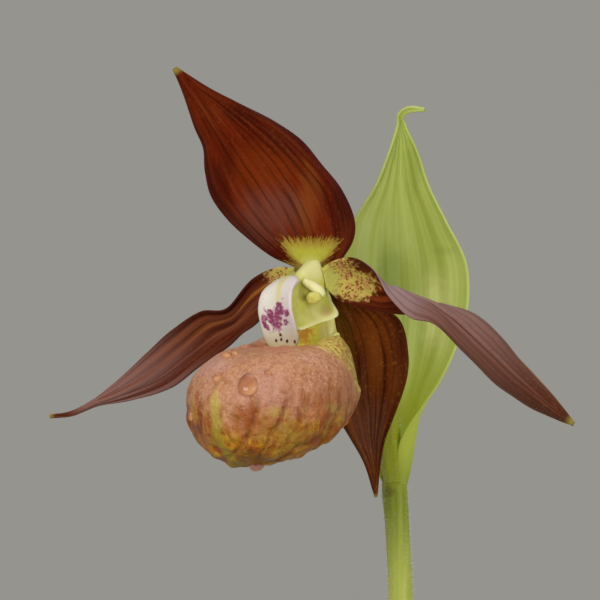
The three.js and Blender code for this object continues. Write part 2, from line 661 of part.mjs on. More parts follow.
// Hollow pouch as two skins joined at the rim of the mouth; extra thickens both skins
function pouch(extra = 0) {
  const turns = 44;
  const levels = 15;
  const skin = (depth) => {
    const rings = [];
    for (let r = 1; r <= levels; r += 1) {
      const level = r / levels;
      const ring = [];
      for (let s = 0; s < turns; s += 1) {
        const turn = (2 * Math.PI * s) / turns;
        const along = pouchPoint(turn, Math.min(1, level + 0.01)).sub(pouchPoint(turn, level - 0.01));
        const round = pouchPoint(turn + 0.02, level).sub(pouchPoint(turn - 0.02, level));
        const normal = round.cross(along).normalize();
        ring.push(pouchPoint(turn, level).addScaledVector(normal, depth));
      }
      rings.push(ring);
    }
    return rings;
  };
  const outer = skin(extra);
  const inner = skin(-POUCH_SHELL - extra).reverse();
  return closedRings([...outer, ...inner]);
}

function part(name, geometry, colour) {
  const flat = geometry.index ? geometry : mergeVertices(geometry);
  flat.deleteAttribute('uv');
  flat.computeVertexNormals();
  const mesh = new THREE.Mesh(flat, new THREE.MeshStandardMaterial(COLOURS[colour]));
  mesh.name = name;
  return mesh;
}

function flower(group) {
  const petal = (lines, rows, columns, ripple) => (thick, widen) => (
    blade(threeLineSurface(lines, ripple, widen), thick, rows, columns)
  );
  const roomy = PETAL_THICKNESS + 2 * GAP;
  const dorsal = petal(DORSAL_SEPAL, 18, 10, (t, v) => 0.12 * Math.cos(5 * Math.PI * v));
  const lower = petal(LOWER_SEPAL, 18, 8);
  const left = petal(LEFT_PETAL, 24, 6);
  const right = petal(RIGHT_PETAL, 26, 6);
  const shield = petal(STAMINODE, 12, 8);
  const core = [column(GAP), ovary(GAP)];
  const anthers = [anther(-1, GAP), anther(1, GAP)];
  group.add(part('ovary', ovary(), 'stem'));
  group.add(part('column', cutClear(column(), [ovary(GAP), ...anthers]), 'cream'));
  group.add(part('anther_left', anther(-1), 'cream'));
  group.add(part('anther_right', anther(1), 'cream'));
  group.add(part('staminode', cutClear(shield(1, 1), [...core, ...anthers]), 'white'));
  const seated = [...core, ...anthers, shield(1 + 2 * GAP, 1.05)];
  group.add(part('lip', cutClear(pouch(), seated), 'pouch'));
  const petals = [left(roomy, 1.04), right(roomy, 1.04)];
  const near = [...core, ...anthers, pouch(GAP)];
  group.add(part('petal_left', cutClear(left(PETAL_THICKNESS, 1), near), 'maroon'));
  group.add(part('petal_right', cutClear(right(PETAL_THICKNESS, 1), near), 'maroon'));
  group.add(part('dorsal_sepal', cutClear(dorsal(PETAL_THICKNESS, 1), [...near, ...petals]), 'maroon'));
  group.add(part('lower_sepal', cutClear(lower(PETAL_THICKNESS, 1), [...near, ...petals]), 'maroon'));
}

function plant() {
  const group = new THREE.Group();
  group.name = 'potted_ladys_slipper_orchid';
  group.add(part('pot', pot(), 'clay'));
  group.add(part('soil', soil(), 'soil'));
  group.add(part('stem', stem(), 'stem'));
  LEAVES.forEach((description, i) => group.add(part(`leaf_${i + 1}`, leaf(description), 'leaf')));
  const bract = blade(bractSurface(), LEAF_THICKNESS, 26, 2 * BRACT_FOLDS, 0.3);
  group.add(part('bract', bract, 'bract'));
  flower(group);
  return group;
}

export default plant();
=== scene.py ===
# Potted lady's slipper orchid: fine surfaces, materials, studio and camera around the frame.
# Shapes are worked out in millimetres in the frame of the plant and stored in metres.
import math

import bpy
import numpy as np
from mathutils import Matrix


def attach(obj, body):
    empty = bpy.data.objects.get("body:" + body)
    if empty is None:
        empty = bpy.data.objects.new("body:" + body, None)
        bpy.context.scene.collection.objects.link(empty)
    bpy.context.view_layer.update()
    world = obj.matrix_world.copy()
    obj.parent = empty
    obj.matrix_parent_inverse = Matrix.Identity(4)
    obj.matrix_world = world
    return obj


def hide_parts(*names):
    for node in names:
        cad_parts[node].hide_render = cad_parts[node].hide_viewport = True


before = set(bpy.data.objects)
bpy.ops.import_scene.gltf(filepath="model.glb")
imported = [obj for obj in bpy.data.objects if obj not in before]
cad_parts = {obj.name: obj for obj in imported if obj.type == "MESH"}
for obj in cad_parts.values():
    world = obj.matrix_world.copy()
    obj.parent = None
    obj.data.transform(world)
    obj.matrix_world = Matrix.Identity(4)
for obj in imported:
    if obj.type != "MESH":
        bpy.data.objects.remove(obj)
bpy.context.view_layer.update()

MM = 0.001
GAP = 0.3
UP = np.array([0.0, 0.0, 1.0])

# Clay pot and potting mix
POT_HEIGHT = 112
POT_FOOT_RADIUS = 44
POT_BODY_TOP_RADIUS = 58
POT_RIM_RADIUS = 65
POT_RIM_HEIGHT = 25
POT_WALL = 5.5
POT_FLOOR = 7
POT_EDGE = 1.5
POT_NECK_IN = 4.5
POT_NECK_DROP = 4
POT_WOBBLE = 0.12
DRAIN_COUNT = 4
DRAIN_RADIUS = 5
DRAIN_OUT = 23
SOIL_TOP = 99
SOIL_LUMP = 1.5
CHIP_COUNT = 900
CHIPS_CLEAR_OF_STEM = 7
BARK_SIZES = (1.5, 4.2)
GRIT_SIZES = (1.0, 1.8)
GRIT_SHARE = 0.14

# Stem
NODE_Z = 280
STEM_FOOT_Z = 84
STEM_FOOT_RADIUS = 3.3
STEM_TOP_RADIUS = 2.45
COLLAR_RISE = 1.6
COLLAR_SWELL = 0.2
STALK_SIDES = 36
HAIR_LENGTHS = (0.4, 1.05)
HAIR_WIDTH = 0.085
HAIR_SPREAD = 0.35
STEM_PATH = [
    (0, 0, STEM_FOOT_Z), (0, 0, 134), (0, 0, 184), (0.2, 0, 232), (0.3, 0, 256), (-0.3, 0, 270),
]
COLLAR_TOP = (-1.1, 0, NODE_Z + COLLAR_RISE)

# Flower: its place, and the way it looks
FLOWER = np.array([-21.0, -24.0, NODE_Z + 39.9])
LOOKS_LEFT = math.radians(36)
FORWARD = np.array([-math.sin(LOOKS_LEFT), -math.cos(LOOKS_LEFT), 0.0])
SIDEWAYS = np.array([math.cos(LOOKS_LEFT), -math.sin(LOOKS_LEFT), 0.0])
PETAL_THICKNESS = 0.7
LEAF_THICKNESS = 0.75

# Blades as left edge, midrib and right edge from base to tip, each point given to the right, up
# and back of the flower's place
DORSAL_SEPAL = (
    [(0.2, 5.6, -1), (-1.5, 7.1, -1.5), (-5.9, 9.2, -1), (-10.5, 12.6, 0), (-15.1, 16.8, 0.5),
     (-18.7, 21.8, 0), (-19.9, 26.9, -2), (-20.2, 31.7, -4), (-22.1, 36.3, -9),
     (-24.1, 42.6, -12), (-26.4, 48.1, -15)],
    [(3.4, 6.2, -1), (3.4, 8, -2.5), (1.9, 12, -3.5), (-0.2, 17, -4), (-2.7, 22.1, -4.5),
     (-6.1, 26.9, -5), (-9.9, 31.5, -6.5), (-14.1, 36.3, -8.5), (-18.3, 40.7, -10.5),
     (-22.3, 44.5, -13), (-26.1, 48.3, -15)],
    [(6.4, 6.2, -1), (8.6, 8.4, -1.5), (11.1, 12.6, -0.5), (11.3, 17.2, 0.5), (8.8, 23.1, 0.5),
     (5, 28.1, -0.5), (0.4, 33.6, -2.5), (-5.9, 37.8, -5), (-13.4, 41.4, -8),
     (-20.2, 44.7, -11.5), (-25.8, 48.5, -15)],
)
LOWER_SEPAL = (
    [(3.8, 3.4, 0.5), (3.8, -0.4, 1), (3.4, -6.3, 2.5), (3.8, -12.6, 4.5), (5.2, -19.3, 6.5),
     (8, -24.8, 8.5), (10.5, -29, 10), (13.2, -33.6, 11), (14.7, -37.4, 11.5), (15.7, -41.4, 12)],
    [(5.9, 3.1, 0.5), (8, 0, 2), (10.5, -5.5, 5.5), (12, -11.8, 8.5), (12.8, -18.5, 10.2),
     (13.7, -24.4, 11), (14.3, -29.4, 11.3), (15.3, -34, 11.6), (15.6, -37.4, 11.7),
     (16, -41.6, 12)],
    [(8, 3.6, 0.5), (13, 0.4, 3), (20.6, -3.8, 4.5), (22.7, -10.9, 6.5), (22.3, -17.2, 8.2),
     (19.7, -24.8, 9.5), (18.1, -29, 10.3), (17, -33.6, 11), (16.5, -37.4, 11.5),
     (16.3, -41.4, 12)],
)
LEFT_PETAL = (
    [(0.4, 6.3, -3), (-4.6, 6.7, -1), (-9.9, 4.4, 1), (-15.5, -1.7, 4), (-21, -2.5, 7),
     (-26.9, -6.3, 10), (-32.5, -11.5, 13), (-38.4, -17, 16), (-43.7, -21.2, 18),
     (-48.3, -23.6, 19), (-52.9, -24.3, 19)],
    [(0.4, 4.4, -3), (-4.8, 3.4, 0.5), (-9.7, -0.2, 3), (-13.9, -4.2, 6), (-18.7, -6.5, 9),
     (-23.9, -10.5, 11), (-30, -15.3, 12.5), (-36.8, -19.1, 15.5), (-43.3, -21.7, 18),
     (-48.3, -24, 19), (-52.9, -24.6, 19)],
    [(0.6, 2.5, -3), (-5, -0.4, -1), (-9.2, -4.9, 1), (-12.2, -7.2, 4), (-15.5, -10.3, 7),
     (-21, -13.9, 10), (-27.3, -18.5, 13), (-35.1, -20.9, 16), (-42.6, -22.3, 18),
     (-48.3, -24.4, 19), (-52.9, -24.9, 19)],
)
RIGHT_PETAL = (
    [(4.6, 6.7, -4), (7.8, 8.4, -6), (11.5, 8.6, -8.5), (15.5, 6.1, -11), (19.1, 0.4, -13),
     (23.1, -3.6, -14), (28.1, -5, -16), (33.6, -10.3, -18), (39.3, -16, -20),
     (44.9, -20.6, -22), (51, -23.7, -24), (56.7, -26.1, -28)],
    [(5, 4.6, -4), (8.6, 4.2, -3), (12.8, 3.1, -4), (16.6, 1.9, -6), (20.6, 2.3, -8),
     (24.1, 0.8, -10), (29, -1.9, -14), (34.2, -6.1, -19), (39.3, -10.9, -22),
     (44.7, -16.2, -25), (51, -21.4, -27), (56.9, -25.8, -28)],
    [(5.5, 2.5, -4), (8.4, 0, -5), (13, -1.5, -5.5), (17.8, -2.5, -5), (21.4, -2.9, -3),
     (24.8, -2.5, -4), (30.7, -1.2, -8), (36.5, -2.9, -13), (42, -7.8, -17),
     (47.2, -13.9, -21), (52.5, -19.7, -25), (57.1, -25.5, -28)],
)
STAMINODE = (
    [(-2, 4.2, -7.7), (-5, 3.4, -8.8), (-7.8, 1.5, -11), (-8.6, -1.9, -11.4), (-8, -5.5, -10.7),
     (-7.1, -8.6, -10.3), (-5.5, -10.5, -10.5)],
    [(-1.3, 4.6, -8.2), (-2.9, 4.5, -10.3), (-4.4, 2.6, -12.4), (-4.7, -1.5, -12.9),
     (-4.3, -5.3, -12.2), (-3.8, -9.2, -11.5), (-3.7, -11.1, -11.3)],
    [(-0.7, 4.2, -8.6), (-0.4, 4, -11.3), (-1.6, 2.1, -14.4), (-1.9, -1.5, -15.6),
     (-1.1, -5, -14.5), (-0.4, -8.6, -12.7), (-1.7, -10.5, -12.1)],
)
BRACT = (
    [(18.5, -40, 26.2), (16.8, -36.6, 23.6), (16.2, -29.4, 23.5), (15.1, -23.1, 23.5),
     (13.7, -16.4, 24), (12, -9.4, 25), (10, -1.1, 26), (9.2, 8, 27), (11.2, 16.4, 28),
     (15.8, 24.1, 29), (18.7, 31.1, 30), (20.6, 36.8, 31), (20.8, 39.4, 30.5), (23, 40.9, 29.5),
     (26.4, 40.5, 28.5)],
    [(20.2, -40, 26.4), (20.4, -36.6, 27.2), (20.8, -29.4, 28.5), (21.4, -23.1, 29.5),
     (22.3, -16.4, 31), (22.9, -9.4, 32), (23.3, -1.1, 33), (22.9, 8, 33.5), (22.1, 16.4, 33.5),
     (21.4, 24.1, 33), (21.4, 31.1, 32.5), (21.4, 36.8, 32), (21.4, 39.1, 31), (23.1, 40.4, 30),
     (26.4, 40.35, 28.9)],
    [(21.9, -40, 26), (23.4, -36.6, 24.6), (24.1, -29.4, 23.5), (26, -23.1, 23.5),
     (30.2, -16.4, 24.5), (33.4, -9.4, 26), (35.7, -1.1, 27.5), (35.3, 8, 28), (31.3, 16.4, 28.5),
     (27.5, 24.1, 29.5), (25.1, 31.1, 30), (22.5, 36.8, 31), (21.9, 38.7, 30.5),
     (23.2, 39.8, 29.5), (26.4, 40.2, 28.5)],
)
# The right side of the bract's base is turned forward round the stalk, closest at the node
BRACT_CLASP_TURN = math.radians(80)
BRACT_CLASP_NEAR = 2.5
BRACT_CLASP_FAR = 4.2
BRACT_FOLDS = 6
BRACT_FOLD_DEPTH = 0.2

# Ovary's middle line from the node to the flower, given like the points of the blades
OVARY_PATH = [
    (19.6, -40.2, 24), (19.7, -37.6, 23.7), (19.3, -33.6, 22), (18.4, -28, 20), (17.2, -20, 18.2),
    (15, -10, 15), (11.4, -1.7, 10.5), (7.4, 4, 4), (4.6, 6.4, -0.6),
]
OVARY_RADIUS = 2.8
OVARY_WAIST = 0.86

# Heart of the flower; the parts of the column are given forward of it, to the side of it and up
HEART = (3.15, 0, -2)
HANDS = ((-1, "left"), (1, "right"))
FILAMENT = {"start": (6.7, 1.7, 3.9), "end": (3.9, 5.2, 0.9), "thick": 1.25, "thin": 0.7}
ANTHER_RADIUS = 1.4
ANTHER_SHAPE = (1.15, 0.95, 0.9)
ANTHER_PLACE = (6.1, 4.1, 0.4)

# Column from back to front: forward, height of its ridge, half width and height of its lower edge
COLUMN = [
    (-1.6, 8.2, 2.2, 4.4), (-0.4, 8.7, 3.6, 0.6), (0.6, 8.6, 6.5, -2.7), (2.2, 8, 6.4, -3.9),
    (5, 6.4, 5.2, -4.7), (8, 3.8, 4.8, -5.5), (10.2, 2, 4.4, -6.1), (11.3, -0.5, 3.4, -5.6),
]
# Its flank from ridge to edge, as shares of the half width and of the height
FLANK = [(0, 0), (0.16, 0.02), (0.3, 0.12), (0.42, 0.36), (0.47, 0.64), (0.64, 0.86), (1, 1)]
STIGMA_BULGE = 0.9
# Pocket in the flank: forward, up and size
POCKET = (4.1, -2.3, 1.4)
POCKET_DEPTH = 0.9

# Pouch of the lip
POUCH_MIDDLE = 15.4
POUCH_HALF_LENGTH = 20.3
POUCH_HALF_WIDTH = 16.5
POUCH_WAIST = -20.2
POUCH_LOWEST = -34.6
POUCH_TILT = 1.3
POUCH_SHELL = 0.9
LOWEST_SHIFT = 8.5
MOUTH_SHIFT = -4.4
MOUTH_SHARE = 0.45
MOUTH_UP = -9.5
HEEL_SHARE = 0.23
SHOULDER_RISE = 1.5
HEEL_RISE = 8.5
HEEL_HOLLOW = 2
HEEL_NARROWING = 0.34
RIM_RAISE = 0.5
RIM_LEVEL = 0.96
RIM_ROLLED_IN = 0.06
RIM_ROLLED_DOWN = 1.1
STRIPE_HALF = 1.3

# Leaves up the stem: height of the base, direction, blade length, half width, rise and droop
LEAVES = [
    {"base": 112, "toward": 205, "length": 118, "half": 27, "lean": 42, "droop": 52},
    {"base": 139, "toward": 20, "length": 122, "half": 28, "lean": 44, "droop": 50},
    {"base": 168, "toward": 228, "length": 112, "half": 25, "lean": 52, "droop": 46},
    {"base": 197, "toward": 38, "length": 96, "half": 20, "lean": 58, "droop": 40},
]
SHEATH_LENGTH = 17
SHEATH_SLACK = 0.45
# Angle in radians from the middle of the sheath round to its edge
SHEATH_WRAP = 2.62
LEAF_FOLDS = 6
LEAF_FOLD_DEPTH = 0.9
LEAF_VEINS = 12

# Soft patches of colour: shade, weight, place right and up of the flower's place, half width, half
# height, how ragged the margin is and, in one row, the grain of its fray
DORSAL_PATCHES_AND_SHEEN = [
    # Painted sheen: the first row is a mauve grey highlight where the blade faces the light
    ((116, 72, 60), 0.5, -6.3, 18.5, 9, 7, 1.2),
    ((124, 50, 12), 0.5, -7.6, 27.5, 9.5, 7, 1.2),
    ((112, 42, 12), 0.4, -19, 40, 6, 7, 1.2),
    ((140, 78, 30), 0.4, 1.8, 20, 3.2, 9, 1.2),
    ((66, 14, 6), 0.6, -1, 34, 9, 5, 1.0),
    ((60, 14, 7), 0.7, 9, 20, 2.6, 9, 0.8),
    ((60, 14, 7), 0.6, -11, 39, 7, 2.6, 0.8),
    ((70, 15, 5), 0.6, -16, 26, 3, 9, 0.8),
]
LOWER_PATCHES = [
    ((110, 78, 14), 0.7, 9.2, -9, 3.0, 13, 1.2),
    ((134, 66, 18), 0.6, 15.2, -5.5, 5.5, 6, 1.2),
    ((128, 64, 18), 0.5, 15.2, -14, 2.2, 16, 1.2),
    ((132, 66, 22), 0.3, 19.4, -13, 1.8, 11, 1.0),
    ((112, 68, 54), 0.7, 14.4, -28, 5, 9, 1.2),
    ((78, 42, 36), 0.4, 13.2, -19, 1.8, 9, 1.0),
    ((62, 24, 14), 0.4, 21.2, -9, 2.0, 9, 1.0),
]
LEFT_PATCHES = [((84, 28, 18), 0.6, -11.5, 1.5, 4, 4, 0.3)]
POUCH_PATCHES = [
    ((192, 138, 122), 0.5, -8, -18.5, 8, 5, 0.6),
    ((196, 144, 128), 0.5, -18.5, -13.5, 4.6, 3.4, 0.6),
    ((156, 84, 30), 0.6, -10.5, -26.2, 7, 3.6, 0.8),
    ((172, 102, 52), 0.5, 4.6, -22, 5, 4.4, 0.8),
    ((172, 138, 48), 0.5, -2.1, -28.3, 7.5, 3.6, 1.4),
    ((184, 156, 70), 0.5, -5.2, -23.1, 1.8, 1.4, 0.8),
    ((186, 158, 74), 0.6, 6.9, -22.6, 1.8, 1.6, 0.8),
    ((138, 60, 34), 0.7, 3.2, -29, 2.4, 1.6, 0.8),
    ((180, 114, 78), 0.5, 9.8, -17.9, 3, 7, 0.8),
    ((150, 84, 52), 0.5, -21, -29.4, 3, 5, 0.6),
    ((118, 84, 24), 0.6, -10.5, -32.8, 10, 2, 0.8),
    ((190, 116, 82), 0.8, -6.5, -9.7, 9, 1.2, 0.9),
    ((186, 120, 76), 0.6, 1.5, -9.6, 4, 0.9, 0.9),
]
COLUMN_PATCHES_AND_SHADE = [
    ((224, 220, 156), 0.9, 2.1, 6.7, 4.6, 3.6, 0.3),
    # Painted shade in the next three rows: the fold beside the ridge, the hollow by the anther and
    # the flank's pocket
    ((150, 140, 36), 0.6, 0.4, 1.6, 1.0, 2.6, 0.3),
    ((146, 124, 92), 0.4, 0.8, 0.5, 0.8, 0.9, 0.3),
    ((182, 142, 104), 0.6, 5.6, -2.7, 1.9, 1.8, 0.8, 1.2),
    ((216, 212, 140), 0.6, 2.8, -3, 3, 2.4, 0.3),
]
BRACT_PATCHES_AND_PAINTED_LIGHT = [
    # Painted shade: the first row darkens a strip left of the midrib that the petal shades
    ((124, 142, 40), 0.55, 18.9, 5, 3.4, 9, 0.3),
    ((132, 148, 50), 0.35, 30.5, 10.5, 3.4, 1.2, 0.7),
    ((130, 146, 48), 0.4, 24, 28, 2.2, 10, 0.3),
    ((186, 192, 104), 0.25, 33, 4, 3, 12, 0.3),
    ((184, 192, 106), 0.45, 13, 18, 2.6, 8, 0.3),
    ((146, 158, 42), 0.5, 23.3, 4.5, 2.6, 8, 0.3),
    # Painted light: the last row lightens the bract where the right petal's shadow falls
    ((204, 208, 124), 0.75, 28.8, -3, 4.2, 11, 0.3),
]
STALK_PATCHES = [
    ((120, 116, 10), 0.7, 18.9, -40.6, 1.8, 1.5, 0.3),
    ((98, 48, 20), 0.85, 17.3, -38.2, 0.5, 1.3, 0.3),
]

# Ovals of one shade: the staminode's blotches and specks, and the pale feet of the petals
BLOTCHES = [
    (-4.5, -2.8, 1.4, 3.4), (-5.2, -4.8, 2.2, 2.6), (-6.2, -3.2, 1.2, 1.8), (-7.5, -4, 1.1, 2.2),
    (-6.8, -5.7, 1.1, 1.1), (-2.8, -2.7, 0.7, 1.2), (-3, -4.5, 0.7, 1.0),
]
SPECKS = [(-4.1, -7.3), (-5, -8.5), (-3.9, -8.3), (-2.7, -8.6), (-1.1, -8.7)]
SPECK_SIZE = (0.32, 0.44)
PALE_FEET = [(5.8, 3.2, 3.4, 5.2), (-0.6, 5.6, 2.4, 2.4)]

# Yellow-green fan of the dorsal sepal: its centre, its solid part and the longest rays past it
FAN_CENTRE = (2.1, 6.5)
FAN_SOLID = 2.9
FAN_RAYS = 7.5

# Water drops on the pouch: turn, level, half width, half height and bulge
DROPS = [
    (0.43, 0.59, 2.1, 2.6, 1.0), (-0.28, 0.81, 1.4, 1.0, 0.9), (-0.17, 0.84, 1.0, 0.7, 0.6),
    (-0.05, 0.64, 1.0, 1.3, 0.8), (0.65, 0.665, 0.8, 0.6, 0.5), (-0.53, 0.424, 0.9, 1.3, 0.6),
    (1.02, 0.06, 2.0, 1.4, 1.2), (0.39, 0.46, 0.7, 0.6, 0.6), (0.5, 0.51, 0.5, 0.6, 0.4),
]

# Camera: level, straight on, with the frame's width at the flower
VIEW_DISTANCE = 3000
VIEW_WIDTH = 126
SENSOR = 36


# Shares and curves

def smooth(start, end, value):
    """Smooth step from 0 at start to 1 at end, in either direction."""
    share = np.clip((value - start) / (end - start), 0, 1)
    return share * share * (3 - 2 * share)


def lerp(a, b, share):
    return a + (b - a) * share


def unit(vectors):
    return vectors / np.maximum(np.linalg.norm(vectors, axis=-1, keepdims=True), 1e-9)


def full_turn(count):
    """Angles spread evenly over one turn."""
    return np.arange(count) * 2 * math.pi / count


def curve(points, t):
    """Places on a smooth curve through the points, at shares t of it."""
    points = np.asarray(points, float)
    padded = np.vstack([2 * points[0] - points[1], points, 2 * points[-1] - points[-2]])
    place = np.clip(t, 0, 1) * (len(points) - 1)
    low = np.minimum(place.astype(int), len(points) - 2)
    share = (place - low)[..., None]
    a, b, c, d = (padded[low + k] for k in range(4))
    start, end = (c - a) / 2, (d - b) / 2
    rise = c - b
    bend = 3 * rise - 2 * start - end
    twist = start + end - 2 * rise
    return b + share * (start + share * (bend + share * twist))


def evenly(points, count):
    """Points spread evenly over the length of a smooth curve."""
    fine = curve(points, np.linspace(0, 1, 40 * len(points)))
    steps = np.linalg.norm(np.diff(fine, axis=0), axis=1)
    length = np.concatenate([[0], np.cumsum(steps)])
    wanted = np.linspace(0, length[-1], count)
    return np.stack([np.interp(wanted, length, fine[:, k]) for k in range(fine.shape[1])], 1)


def swells(points, size, seed, count=14):
    """Smooth irregular values, mostly within -1 and 1, with swells about size across."""
    draw = np.random.default_rng(seed)
    total = 0
    for _ in range(count):
        way = draw.normal(size=3)
        way *= 2 * math.pi / size * draw.uniform(0.6, 1.3) / np.linalg.norm(way)
        total = total + np.sin(points @ way + draw.uniform(0, 2 * math.pi))
    return total / math.sqrt(count)


def placed(points):
    """Points to the right, up and back of the flower's place, in the plant's frame."""
    points = np.asarray(points, float)
    return FLOWER + points[..., [0, 2, 1]]


def on_flower(forward, sideways, up):
    """Points by their distance forward of the heart, to the side of it, and their height."""
    forward, sideways, up = np.broadcast_arrays(forward, sideways, up)
    return (placed(HEART) + forward[..., None] * FORWARD + sideways[..., None] * SIDEWAYS
            + up[..., None] * UP)


def zigzag(x):
    """Rounded zigzag between -1 and 1 with a period of 2."""
    return -0.9 * (np.cos(math.pi * x) + np.cos(3 * math.pi * x) / 9)


# Meshes

def add_piece(name, points, faces, marks, material, slot, *nodes):
    """Stores a mesh with its marks, rides it on the plant and lets it replace CAD nodes."""
    mesh = bpy.data.meshes.new(name)
    mesh.from_pydata((np.asarray(points) * MM).tolist(), [], faces)
    for label, values in marks.items():
        mark = mesh.attributes.new(label, "FLOAT", "POINT")
        mark.data.foreach_set("value", np.asarray(values, float).ravel())
    mesh.shade_smooth()
    mesh.materials.append(material)
    piece = bpy.data.objects.new(name, mesh)
    bpy.context.scene.collection.objects.link(piece)
    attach(piece, "root")
    if nodes:
        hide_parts(*nodes)
    return piece


def facing_out(points, faces):
    """Faces turned outward, whichever way the points of the closed mesh run."""
    volume = 0
    for corners in (3, 4):
        chosen = np.array([face for face in faces if len(face) == corners])
        if len(chosen):
            for second in range(1, corners - 1):
                a, b, c = (points[chosen[:, k]] for k in (0, second, second + 1))
                volume += np.einsum("ij,ij->", a, np.cross(b, c))
    return faces if volume > 0 else [face[::-1] for face in faces]


def ring_faces(rings, sides):
    r, s = np.meshgrid(np.arange(rings - 1), np.arange(sides), indexing="ij")
    a = r * sides + s
    b = r * sides + (s + 1) % sides
    return np.stack([a, b, b + sides, a + sides], -1).reshape(-1, 4).tolist()


def closed_tube(rings):
    """Points and faces of a tube of rings with its two ends closed by fans."""
    count, sides = rings.shape[:2]
    hubs = np.stack([rings[0].mean(0), rings[-1].mean(0)])
    points = np.concatenate([rings.reshape(-1, 3), hubs])
    faces = ring_faces(count, sides)
    first, last = count * sides, (count - 1) * sides
    for s in range(sides):
        after = (s + 1) % sides
        faces.append([first, after, s])
        faces.append([first + 1, last + s, last + after])
    return points, facing_out(points, faces)


def normals(points):
    return unit(np.cross(np.gradient(points, axis=1), np.gradient(points, axis=0)))


def blade(surface, thickness, rows, columns, relief, front=1, thin_edge=0.4):
    """Thin closed blade round surface(t, v), with relief(t, v) raised on its front."""
    t, v = np.meshgrid(np.linspace(0, 1, rows + 1), np.linspace(-1, 1, columns + 1), indexing="ij")
    middle = surface(t, v)
    middle = middle + relief(t, v, middle)[..., None] * front * normals(middle)
    normal = front * normals(middle)
    half = (thickness / 2 * (1 - thin_edge * np.abs(v) ** 8))[..., None]
    face, back = middle + half * normal, middle - half * normal
    outward = 0.7 * half[:, [0, -1]] * np.stack([
        unit(middle[:, 0] - middle[:, 1]), unit(middle[:, -1] - middle[:, -2])], 1)
    rims = middle[:, [0, -1]] + outward
    rings = np.concatenate([face, rims[:, 1:], back[:, ::-1], rims[:, :1]], 1)
    sides = rings.shape[1]
    points = rings.reshape(-1, 3)
    faces = ring_faces(rows + 1, sides)
    behind = [2 * columns + 2 - j for j in range(columns + 1)]
    for start, way in ((0, 1), (rows * sides, -1)):
        cap = [[j + 1, j, behind[j], behind[j + 1]] for j in range(columns)]
        cap += [[behind[columns], columns + 1, columns], [0, sides - 1, behind[0]]]
        faces += [[start + corner for corner in face[::way]] for face in cap]
    marks = {
        "along": np.concatenate([t, t[:, :1], t, t[:, :1]], 1),
        "across": np.concatenate([v, v[:, -1:], v[:, ::-1], v[:, :1]], 1),
        "front": np.concatenate([0 * t + 1, 0 * t[:, :1] + 0.5, 0 * t, 0 * t[:, :1] + 0.5], 1),
    }
    return points, facing_out(points, faces), marks


def rail_surface(lines):
    """Surface through three lines of points given from the flower's place."""
    lines = [placed(line) for line in lines]

    def surface(t, v):
        left, middle, right = (curve(line, t) for line in lines)
        v = v[..., None]
        return left * (v * v - v) / 2 + middle * (1 - v * v) + right * (v * v + v) / 2
    return surface


def bar(points, rings, sides, radius):
    """Rings of a round bar along a path; radius(t, angle) gives its radius."""
    path = evenly(points, rings)
    along = unit(np.gradient(path, axis=0))
    across = unit(np.array([1.0, 0, 0]) - along * along[:, :1])
    other = np.cross(along, across)
    t, angle = np.meshgrid(np.linspace(0, 1, rings), full_turn(sides), indexing="ij")
    reach = radius(t, angle)[..., None]
    ring = across[:, None] * np.cos(angle)[..., None] + other[:, None] * np.sin(angle)[..., None]
    return path[:, None] + reach * ring, ring


def ball(rows, sides, hole):
    """Points of a ball of radius 1, ring by ring, with a small hole at each pole."""
    polar, angle = np.meshgrid(np.linspace(hole, math.pi - hole, rows), full_turn(sides),
                               indexing="ij")
    return np.stack([np.sin(polar) * np.cos(angle), np.sin(polar) * np.sin(angle),
                     np.cos(polar)], -1)


def hair_piece(name, roots, ways, lengths, width, material, slot):
    """One mesh of fine straight hairs, each a slim closed pyramid."""
    side = unit(np.cross(ways, [0.31, 0.77, 0.55]))
    other = np.cross(ways, side)
    sunk = roots - 0.15 * ways
    corners = [sunk + width / 2 * (math.cos(a) * side + math.sin(a) * other)
               for a in full_turn(3)]
    tips = roots + ways * lengths[:, None]
    points = np.stack([*corners, tips], 1).reshape(-1, 3)
    faces = []
    for first in range(0, len(points), 4):
        a, b, c, tip = range(first, first + 4)
        faces += [[a, c, b], [a, b, tip], [b, c, tip], [c, a, tip]]
    return add_piece(name, points, faces, {}, material, slot)


# Materials

def srgb(red, green, blue):
    """Linear colour of a shade given from 0 to 255 as it is seen."""
    shade = np.array([red, green, blue]) / 255
    linear = np.where(shade <= 0.04045, shade / 12.92, ((shade + 0.055) / 1.055) ** 2.4)
    return (*linear.tolist(), 1.0)


class Value:
    """A number, place or colour made by shader nodes; sums and products of it add nodes."""

    def __init__(self, look, socket):
        self.look = look
        self.socket = socket

    def __add__(self, other):
        return self.look.math("ADD", self, other)

    def __sub__(self, other):
        return self.look.math("SUBTRACT", self, other)

    def __mul__(self, other):
        return self.look.math("MULTIPLY", self, other)

    def __truediv__(self, other):
        return self.look.math("DIVIDE", self, other)

    def __abs__(self):
        return self.look.math("ABSOLUTE", self)


